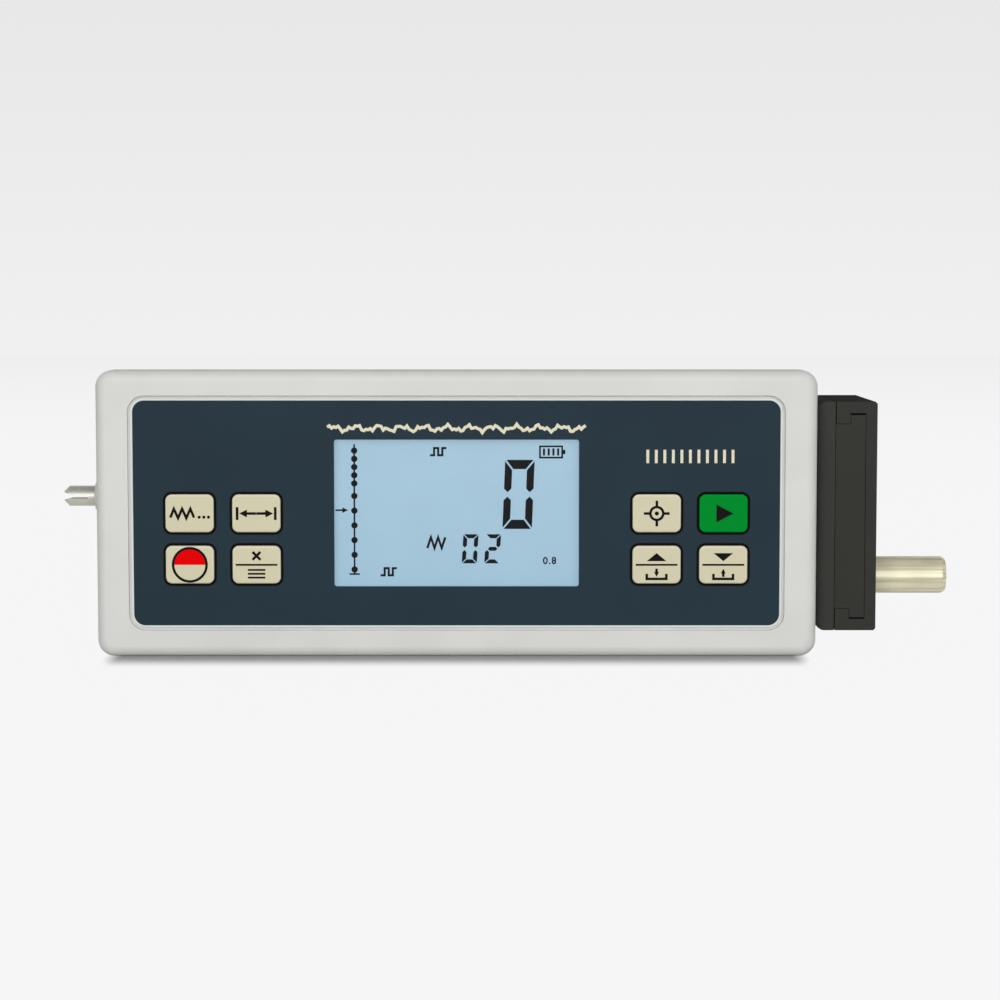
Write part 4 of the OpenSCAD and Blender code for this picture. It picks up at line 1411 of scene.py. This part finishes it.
@dataclass
class Keypad:
    """Eight key caps with their signs, the black rims round them and the mats behind."""

    ink_t: float = 0.03 * MM
    line: float = 0.5 * MM
    corner: float = 1.25 * MM
    flange: float = 0.7 * MM
    ring_d: float = 7.0 * MM
    rule_l: float = 8.1 * MM
    rule_h: float = 0.36 * MM
    list_lines: int = 3
    list_v: float = -1.0 * MM
    list_step: float = 0.75 * MM
    list_l: float = 3.4 * MM
    dot_steps: int = 20
    triangle_half: float = 1.9 * MM
    triangle_v: Point = (0.72 * MM, 2.28 * MM)
    cap_roughness: float = 0.48
    cream: Colour = tone(219, 213, 181)
    # painted highlight: paler cream along the edge of each cream cap's face
    cream_painted_highlight: Colour = tone(232, 226, 200)
    cream_sheen: float = 0.12
    green: Colour = tone(0, 143, 47)
    # painted highlight: paler green along the edge of the green cap's face
    green_painted_highlight: Colour = tone(0, 154, 54)
    green_sheen: float = 0.02
    rim: Finish = Moulded("rim_black", tone(20, 17, 17), 0.5, sheen=0.02)
    mat: Finish = Moulded("mat_rubber", tone(48, 48, 50), 0.75)
    ink: Finish = Ink("key_black_ink", tone(22, 20, 20), 0.5, sheen=0.03)
    red: Finish = Ink("key_red_ink", tone(242, 2, 4), 0.5, sheen=0.02)

    def build(self, bars: RowTree) -> None:
        """Dresses the keys and prints their signs.

        Args:
            bars: Tree for rows of bars.
        """
        dress(self.rim, "key_bezel_left", "key_bezel_right")
        dress(self.mat, "key_mat_left", "key_mat_right")
        black = self.ink.make()
        for sign in Sign:
            node = sign.value
            centre, half = middle(node), half_size(node)
            green = sign is Sign.RUN
            cap = KeyFinish(
                name=f"{node}_cap",
                colour=self.green if green else self.cream,
                roughness=self.cap_roughness,
                sheen=self.green_sheen if green else self.cream_sheen,
                # painted highlight along the edge of the cap's face
                border=self.green_painted_highlight if green else self.cream_painted_highlight,
                centre=(centre.x, centre.z),
                half=(half.x - self.flange, half.z - self.flange),
                corner=self.corner,
                face_y=centre.y - half.y,
            )
            dress(cap, node)
            self.print_sign(sign, centre, black, bars)

    def print_sign(self, sign: Sign, centre: Vector, black: bpy.types.Material, bars: RowTree) -> None:
        """Prints one key's sign.

        Args:
            sign: Which sign it is.
            centre: Middle of the key.
            black: The black ink.
            bars: Tree for rows of bars.
        """
        node = sign.value
        face_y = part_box(node)[0].y
        draft = Draft(face_y, self.ink_t, (centre.x, centre.z))
        draw = {
            Sign.TRACE: self.draw_trace,
            Sign.SPAN: self.draw_span,
            Sign.POWER: self.draw_power,
            Sign.MENU: self.draw_menu,
            Sign.TARGET: self.draw_target,
            Sign.RUN: self.draw_run,
            Sign.UP: self.draw_up,
            Sign.DOWN: self.draw_down,
        }
        draw[sign](draft)
        draft.finish(f"{node}_sign", black, node, "black_plastic")
        if sign is Sign.POWER:
            half_disc = Draft(face_y, self.ink_t, (centre.x, centre.z))
            half_disc.plate(arc((0.0, 0.0), self.ring_d / 2 - self.line, 0, 180))
            half_disc.finish("key_power_red", self.red.make(), node)
        if sign is Sign.MENU:
            self.print_list(bars, node, centre, face_y, black)

    def print_list(
        self, bars: RowTree, node: str, centre: Vector, face_y: float, black: bpy.types.Material
    ) -> None:
        """Prints the three lines of the list sign.

        Args:
            bars: Tree for rows of bars.
            node: The key.
            centre: Middle of the key.
            face_y: Front of the key.
            black: The ink.
        """
        piece = bars.bake(
            f"{node}_list",
            Count=self.list_lines,
            Start=(centre.x, face_y - self.ink_t / 2, centre.z + self.list_v),
            Step=(0.0, 0.0, -self.list_step),
            Size=(self.list_l, self.ink_t, self.rule_h),
            Material=black,
        )
        settle(piece, node)

    def draw_trace(self, draft: Draft) -> None:
        """Draws a zigzag trace that ends in three dots.

        Args:
            draft: Where it is drawn.
        """
        path = [(-3.7, -0.8), (-3.0, 0.9), (-2.2, -0.9), (-1.4, 0.9), (-0.6, -0.9), (0.2, 0.9), (0.9, -0.8)]
        draft.stroke([(u * MM, v * MM) for u, v in path], self.line)
        level, radius = -0.72 * MM, 0.3 * MM
        for u in (1.9 * MM, 2.8 * MM, 3.7 * MM):
            draft.plate(arc((u, level), radius, 0, 360, self.dot_steps))

    def draw_span(self, draft: Draft) -> None:
        """Draws a length between two marks.

        Args:
            draft: Where it is drawn.
        """
        mark, mark_half = 3.7 * MM, 1.25 * MM
        tail, tip, head = 0.02 * MM, 3.3 * MM, 1.5 * MM
        for side in (-1, 1):
            u = side * mark
            draft.bar((u - self.line / 2, u + self.line / 2), (-mark_half, mark_half))
            draft.arrow((side * tail, 0.0), (side * tip, 0.0), self.line, head)

    def draw_power(self, draft: Draft) -> None:
        """Draws the ring of the power sign."""
        draft.hoop((0.0, 0.0), self.ring_d / 2, self.line)

    def draw_rule(self, draft: Draft) -> None:
        """Draws the line between a key's two signs."""
        draft.bar((-self.rule_l / 2, self.rule_l / 2), (-self.rule_h / 2, self.rule_h / 2))

    def draw_menu(self, draft: Draft) -> None:
        """Draws a cross over a line.

        Args:
            draft: Where it is drawn.
        """
        self.draw_rule(draft)
        arm, half, v = 0.95 * MM, self.line / 2, 1.75 * MM
        d = half * math.sqrt(2)
        outline = [
            (d, 0), (arm, arm - d), (arm - d, arm), (0, d), (d - arm, arm), (-arm, arm - d),
            (-d, 0), (-arm, d - arm), (d - arm, -arm), (0, -d), (arm - d, -arm), (arm, d - arm),
        ]
        draft.plate([(a, v + b) for a, b in outline])

    def draw_target(self, draft: Draft) -> None:
        """Draws a ring with four ticks and a dot.

        Args:
            draft: Where it is drawn.
        """
        ring, dot = 1.5 * MM, 0.4 * MM
        draft.hoop((0.0, 0.0), ring, self.line)
        draft.plate(arc((0.0, 0.0), dot, 0, 360, self.dot_steps))
        near, far, half = 1.45 * MM, 2.5 * MM, self.line / 2
        for side in (-1, 1):
            ends = sorted((side * near, side * far))
            draft.bar(tuple(ends), (-half, half))
            draft.bar((-half, half), tuple(ends))

    def draw_run(self, draft: Draft) -> None:
        """Draws a triangle that points to the drive."""
        back, tip, half = -1.4 * MM, 1.9 * MM, 1.75 * MM
        draft.plate([(back, -half), (tip, 0.0), (back, half)])

    def draw_tray(self, draft: Draft, inwards: bool) -> None:
        """Draws a tray with an arrow into it or out of it.

        Args:
            draft: Where it is drawn.
            inwards: Whether the arrow points into the tray.
        """
        low, high, half = -2.75 * MM, -1.75 * MM, 1.9 * MM
        draft.stroke([(-half, high), (-half, low), (half, low), (half, high)], self.line)
        top, tip, head = -0.75 * MM, -2.35 * MM, 0.95 * MM
        start, end = (top, tip) if inwards else (tip, top)
        draft.arrow((0.0, start), (0.0, end), self.line, head)

    def draw_up(self, draft: Draft) -> None:
        """Draws an upward triangle over a line and a tray.

        Args:
            draft: Where it is drawn.
        """
        self.draw_rule(draft)
        half, (low, high) = self.triangle_half, self.triangle_v
        draft.plate([(-half, low), (half, low), (0.0, high)])
        self.draw_tray(draft, inwards=True)

    def draw_down(self, draft: Draft) -> None:
        """Draws a downward triangle over a line and a tray.

        Args:
            draft: Where it is drawn.
        """
        self.draw_rule(draft)
        half, (low, high) = self.triangle_half, self.triangle_v
        draft.plate([(0.0, low), (half, high), (-half, high)])
        self.draw_tray(draft, inwards=False)


@dataclass
class EndSlide:
    """Black end plate, T-rail and end block on the right end."""

    plastic: Finish = Moulded("slide_black", tone(61, 61, 58), 0.6, sheen=0.0, grain=0.22 * MM)
    # painted light: a lighter copy of the block's black, which offsets the shade the plate sits in beside
    # the housing
    plate: Finish = Moulded("plate_black", tone(65, 65, 62), 0.6, sheen=0.0, grain=0.22 * MM)

    def build(self) -> None:
        """Dresses the plate, the rail and the block."""
        dress(self.plastic, "end_rail", "end_block")
        dress(self.plate, "end_plate")


@dataclass
class Drive:
    """Motor, lead screw and carriage that draw the brass tube along."""

    thread_pitch: float = 2 * MM
    ridge: float = 0.36 * MM
    crest_gap: float = 0.02 * MM
    thread_in: float = 4 * MM
    core_sides: int = 40
    steel: Finish = Metal("motor_steel", tone(188, 188, 190), 0.32, lay=Lay.ALONG_X)
    bronze: Finish = Metal("bearing_bronze", tone(188, 152, 96), 0.4, lay=Lay.ROUND_X)
    black: Finish = Moulded("black_plastic", tone(40, 40, 41), 0.5)
    brass: Finish = Metal(
        "tube_brass",
        tone(240, 235, 203),
        0.5,
        lay=Lay.ALONG_X,
        line=0.6 * MM,
        streak=0.6,
        metallic=0.4,
    )

    def build(self) -> None:
        """Dresses the drive and cuts the screw's thread."""
        dress(self.brass, "drive_tube")
        dress(self.bronze, "screw_bearings", "tube_bush", "lead_nut")
        dress(Metal("frame_aluminium", tone(196, 198, 200), 0.42), "drive_chassis", "shaft_coupling")
        dress(Metal("contact_gold", tone(236, 200, 116), 0.22), "connector_contacts")
        dress(self.black, "carriage", "pickup_connector", "limit_switches")
        steel = dress(self.steel, "gear_motor", "motor_shaft", "guide_rod", "lead_screw")
        self.cut_thread(steel)

    def cut_thread(self, steel: bpy.types.Material) -> None:
        """Stands a threaded screw in place of the plain one.

        Args:
            steel: The screw's material.
        """
        low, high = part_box("lead_screw")
        journal = half_size("motor_shaft").y
        crest = (high.y - low.y) / 2 - self.crest_gap
        axis = middle("lead_screw")
        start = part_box("screw_bearings")[0].x + self.thread_in
        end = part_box("drive_chassis")[1].x - self.thread_in
        thread = ThreadTree().bake(
            "lead_screw_thread",
            Turns=(end - start) / self.thread_pitch,
            Radius=crest - self.ridge,
            Length=end - start,
            Ridge=self.ridge,
            Start=(start, axis.y, axis.z),
            Material=steel,
        )
        settle(thread, "lead")
        core = bmesh.new()
        for radius, x0, x1 in ((journal, low.x, high.x), (crest - self.ridge, start, end)):
            made = bmesh.ops.create_cone(
                core,
                cap_ends=True,
                segments=self.core_sides,
                radius1=radius,
                radius2=radius,
                depth=x1 - x0,
            )
            for vert in made["verts"]:
                x, y, z = vert.co
                vert.co = ((x0 + x1) / 2 + z, axis.y + y, axis.z - x)
        piece = settle(closed_piece("lead_screw_core", core, steel), "lead")
        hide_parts("lead_screw")


@dataclass
class Adjuster:
    """Slotted spindle on the left end and the trimmer that it turns."""

    steel: Finish = Metal("spindle_steel", tone(206, 204, 193), 0.42, lay=Lay.ROUND_X, metallic=0.6)

    def build(self) -> None:
        """Dresses the spindle and the trimmer."""
        dress(self.steel, "adjuster_spindle")
        dress(Moulded("trimmer_blue", tone(52, 76, 128), 0.4), "trimmer")


@dataclass
class Electronics:
    """Main board with its chips."""

    chip: Finish = Moulded("chip_black", tone(34, 34, 36), 0.45)

    def build(self) -> None:
        """Dresses the board and the chips."""
        dress(Laminate("board_green", tone(22, 92, 48), 0.4), "main_board")
        dress(self.chip, "processor_chip", "amplifier_chip", "motor_driver_chip")


@dataclass
class BatteryBay:
    """Dry cells and their contacts behind the door."""

    cells: int = 4
    sleeve: Colour = tone(58, 62, 70)
    sleeve_roughness: float = 0.35
    band: Colour = tone(206, 150, 84)

    def build(self) -> None:
        """Dresses the cells and the contacts."""
        nickel = Metal("contact_nickel", tone(205, 203, 198), 0.26)
        dress(nickel, "battery_springs", "battery_plates")
        for index in range(self.cells):
            node = f"battery_cell_{index + 1}"
            low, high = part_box(node)
            towards = 1.0 if index % 2 == 0 else -1.0
            cell = CellSleeve(
                name=f"{node}_sleeve",
                colour=self.sleeve,
                roughness=self.sleeve_roughness,
                band=self.band,
                button_x=high.x if towards > 0 else low.x,
                towards=towards,
            )
            dress(cell, node)


@dataclass
class Studio:
    """Plain pale floor, backdrop, soft lamps and the camera."""

    floor_half: float = 6.0
    backdrop_y: float = 2.0
    backdrop_h: float = 3.0
    backdrop_low: Colour = tone(241, 241, 241)
    backdrop_high: Colour = tone(231, 231, 231)
    fade_h: float = 0.33
    fade_span: Point = (-0.3, 1.3)
    matt: float = 0.9
    floor_colour: Colour = tone(182, 182, 182)
    floor_cloud: float = 0.4
    floor_cloud_tone: float = 0.99
    floor_near: Colour = tone(248, 248, 248)
    floor_fade: Point = (0.25, 2.0)
    floor_glow: float = 0.97
    shadow_in: float = 5 * MM
    shadow_run: Point = (4 * MM, 15 * MM)
    world_light: float = 0.29
    front_light: float = 2.25
    front_angle: float = 50.0
    front_tilt: float = 87.0
    lamp_at: tuple[float, float, float] = (0.05, -0.55, 0.16)
    lamp_size: float = 0.6
    lamp_power: float = 1.2
    camera_elevation: float = 4.71
    camera_distance: float = 527.5 * MM
    picture_w: float = 193.8 * MM
    aim_x: float = 8.43 * MM
    aim_z: float = 30.66 * MM
    sensor: float = 36.0
    clip: Point = (0.01, 50.0)
    parts: list[bpy.types.Object] = field(default_factory=list)

    def build(self) -> None:
        """Builds the studio."""
        self.build_floor()
        self.build_backdrop()
        self.build_lamps()
        self.build_camera()

    def sheet_object(
        self, name: str, corners: list[tuple[float, float, float]], material: bpy.types.Material
    ) -> None:
        """Adds a flat sheet of the studio.

        Args:
            name: Its name.
            corners: Its four corners in order.
            material: Its material.
        """
        data = bpy.data.meshes.new(name)
        data.from_pydata(corners, [], [tuple(range(len(corners)))])
        data.materials.append(material)
        sheet = bpy.data.objects.new(name, data)
        bpy.context.scene.collection.objects.link(sheet)
        self.parts.append(sheet)

    def seen(self, sheet: NodeSheet) -> Wire:
        """Whether the camera, a gloss or a clear pane looks at a surface.

        Args:
            sheet: The surface's material.

        Returns:
            1 where one of them does, else 0.
        """
        light = sheet.node("ShaderNodeLightPath").outputs
        rays = ("Is Camera Ray", "Is Glossy Ray", "Is Transmission Ray")
        camera, glossy, clear = (Wire(sheet, light[ray]) for ray in rays)
        return camera.at_least(glossy).at_least(clear)

    def lighten(self, sheet: NodeSheet, share: Wire, colour: Wire | Colour, strength: float) -> None:
        """Lets a share of a light of its own show on a surface.

        Args:
            sheet: The surface's material.
            share: How much of the light shows.
            colour: Colour of the light.
            strength: Strength of the light.
        """
        glow = sheet.node("ShaderNodeEmission", {}, {"Color": colour, "Strength": strength})
        layers = {0: share, 1: sheet.shader.outputs[0], 2: glow.outputs[0]}
        mixed = sheet.node("ShaderNodeMixShader", {}, layers)
        sheet.tree.links.new(mixed.outputs[0], sheet.output.inputs["Surface"])

    def build_floor(self) -> None:
        """Lays a pale matt floor that keeps the shadow before the housing and is white further out."""
        sheet = NodeSheet("studio_floor")
        cloud = sheet.noise(self.floor_cloud)
        base = sheet.mix(cloud, self.floor_colour, scaled(self.floor_colour, self.floor_cloud_tone))
        sheet.shade(Base_Color=base, Roughness=self.matt, Specular_IOR_Level=0.0)
        low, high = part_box("front_shell")
        x, y, _ = sheet.along()
        reach = (high.x - low.x) / 2 - self.shadow_in
        across = (abs(x - (low.x + high.x) / 2) - reach).at_least(0.0) * (1 / self.shadow_run[0])
        along = (abs(y - low.y - self.shadow_in) - self.shadow_in).at_least(0.0) * (1 / self.shadow_run[1])
        clear = (across * across + along * along).root().rise(0.0, 1.0)
        white = sheet.mix(y.rise(*self.floor_fade), self.floor_near, self.backdrop_low)
        self.lighten(sheet, self.seen(sheet) * clear * self.floor_glow, white, 1.0)
        half, back = self.floor_half, self.backdrop_y
        corners = [(-half, -half, 0), (half, -half, 0), (half, back, 0), (-half, back, 0)]
        self.sheet_object("studio_floor", corners, sheet.material)

    def build_backdrop(self) -> None:
        """Stands a backdrop that shades from pale grey above to near white below."""
        sheet = NodeSheet("studio_backdrop")
        _, _, z = sheet.along()
        fade = z.rise(*(share * self.fade_h for share in self.fade_span))
        shade = sheet.mix(fade, self.backdrop_low, self.backdrop_high)
        sheet.shade(Base_Color=shade, Roughness=self.matt)
        self.lighten(sheet, self.seen(sheet), shade, 1.0)
        half, y, high = self.floor_half, self.backdrop_y, self.backdrop_h
        corners = [(-half, y, 0), (half, y, 0), (half, y, high), (-half, y, high)]
        self.sheet_object("studio_backdrop", corners, sheet.material)

    def add_lamp(self, name: str, lamp: bpy.types.Light) -> bpy.types.Object:
        """Puts a lamp into the scene.

        Args:
            name: The lamp's name.
            lamp: Its light.

        Returns:
            The lamp, still to be placed.
        """
        item = bpy.data.objects.new(name, lamp)
        bpy.context.scene.collection.objects.link(item)
        return item

    def build_lamps(self) -> None:
        """Lights the studio from all round, from the front and from the upper right."""
        world = bpy.data.worlds.new("studio_light")
        bpy.context.scene.world = world
        world.use_nodes = True
        background = world.node_tree.nodes["Background"]
        background.inputs["Color"].default_value = (1, 1, 1, 1)
        background.inputs["Strength"].default_value = self.world_light
        sun = bpy.data.lights.new("front_lamp", "SUN")
        sun.energy = self.front_light
        sun.angle = math.radians(self.front_angle)
        self.add_lamp("front_lamp", sun).rotation_euler = (math.radians(self.front_tilt), 0, 0)
        box = bpy.data.lights.new("side_lamp", "AREA")
        box.energy = self.lamp_power
        box.size = self.lamp_size
        item = self.add_lamp("side_lamp", box)
        item.location = self.lamp_at
        item.rotation_euler = (middle("front_panel") - item.location).to_track_quat("-Z", "Y").to_euler()

    def build_camera(self) -> None:
        """Sets the camera before the front, a little above it."""
        front_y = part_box("front_shell")[0].y
        aim = Vector((self.aim_x, front_y, self.aim_z))
        lift = math.radians(self.camera_elevation)
        data = bpy.data.cameras.new("front_camera")
        data.sensor_width = self.sensor
        data.lens = self.sensor * self.camera_distance / self.picture_w
        data.clip_start, data.clip_end = self.clip
        camera = bpy.data.objects.new("front_camera", data)
        back = Vector((0.0, -math.cos(lift), math.sin(lift)))
        camera.location = aim + back * self.camera_distance
        camera.rotation_euler = (-back).to_track_quat("-Z", "Y").to_euler()
        bpy.context.scene.collection.objects.link(camera)
        bpy.context.scene.camera = camera


def main() -> None:
    """Builds the sub-assemblies in order, then the studio."""
    logging.basicConfig(level=logging.INFO)
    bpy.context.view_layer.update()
    dots, bars = RowTree(Solid.DOT), RowTree(Solid.BAR)
    Housing().build()
    Panel().build(bars)
    Display().build(dots, bars)
    Keypad().build(bars)
    EndSlide().build()
    Drive().build()
    Adjuster().build()
    Electronics().build()
    BatteryBay().build()
    Studio().build()
    bpy.context.scene.view_settings.view_transform = "Standard"


if __name__ == "__main__":
    main()
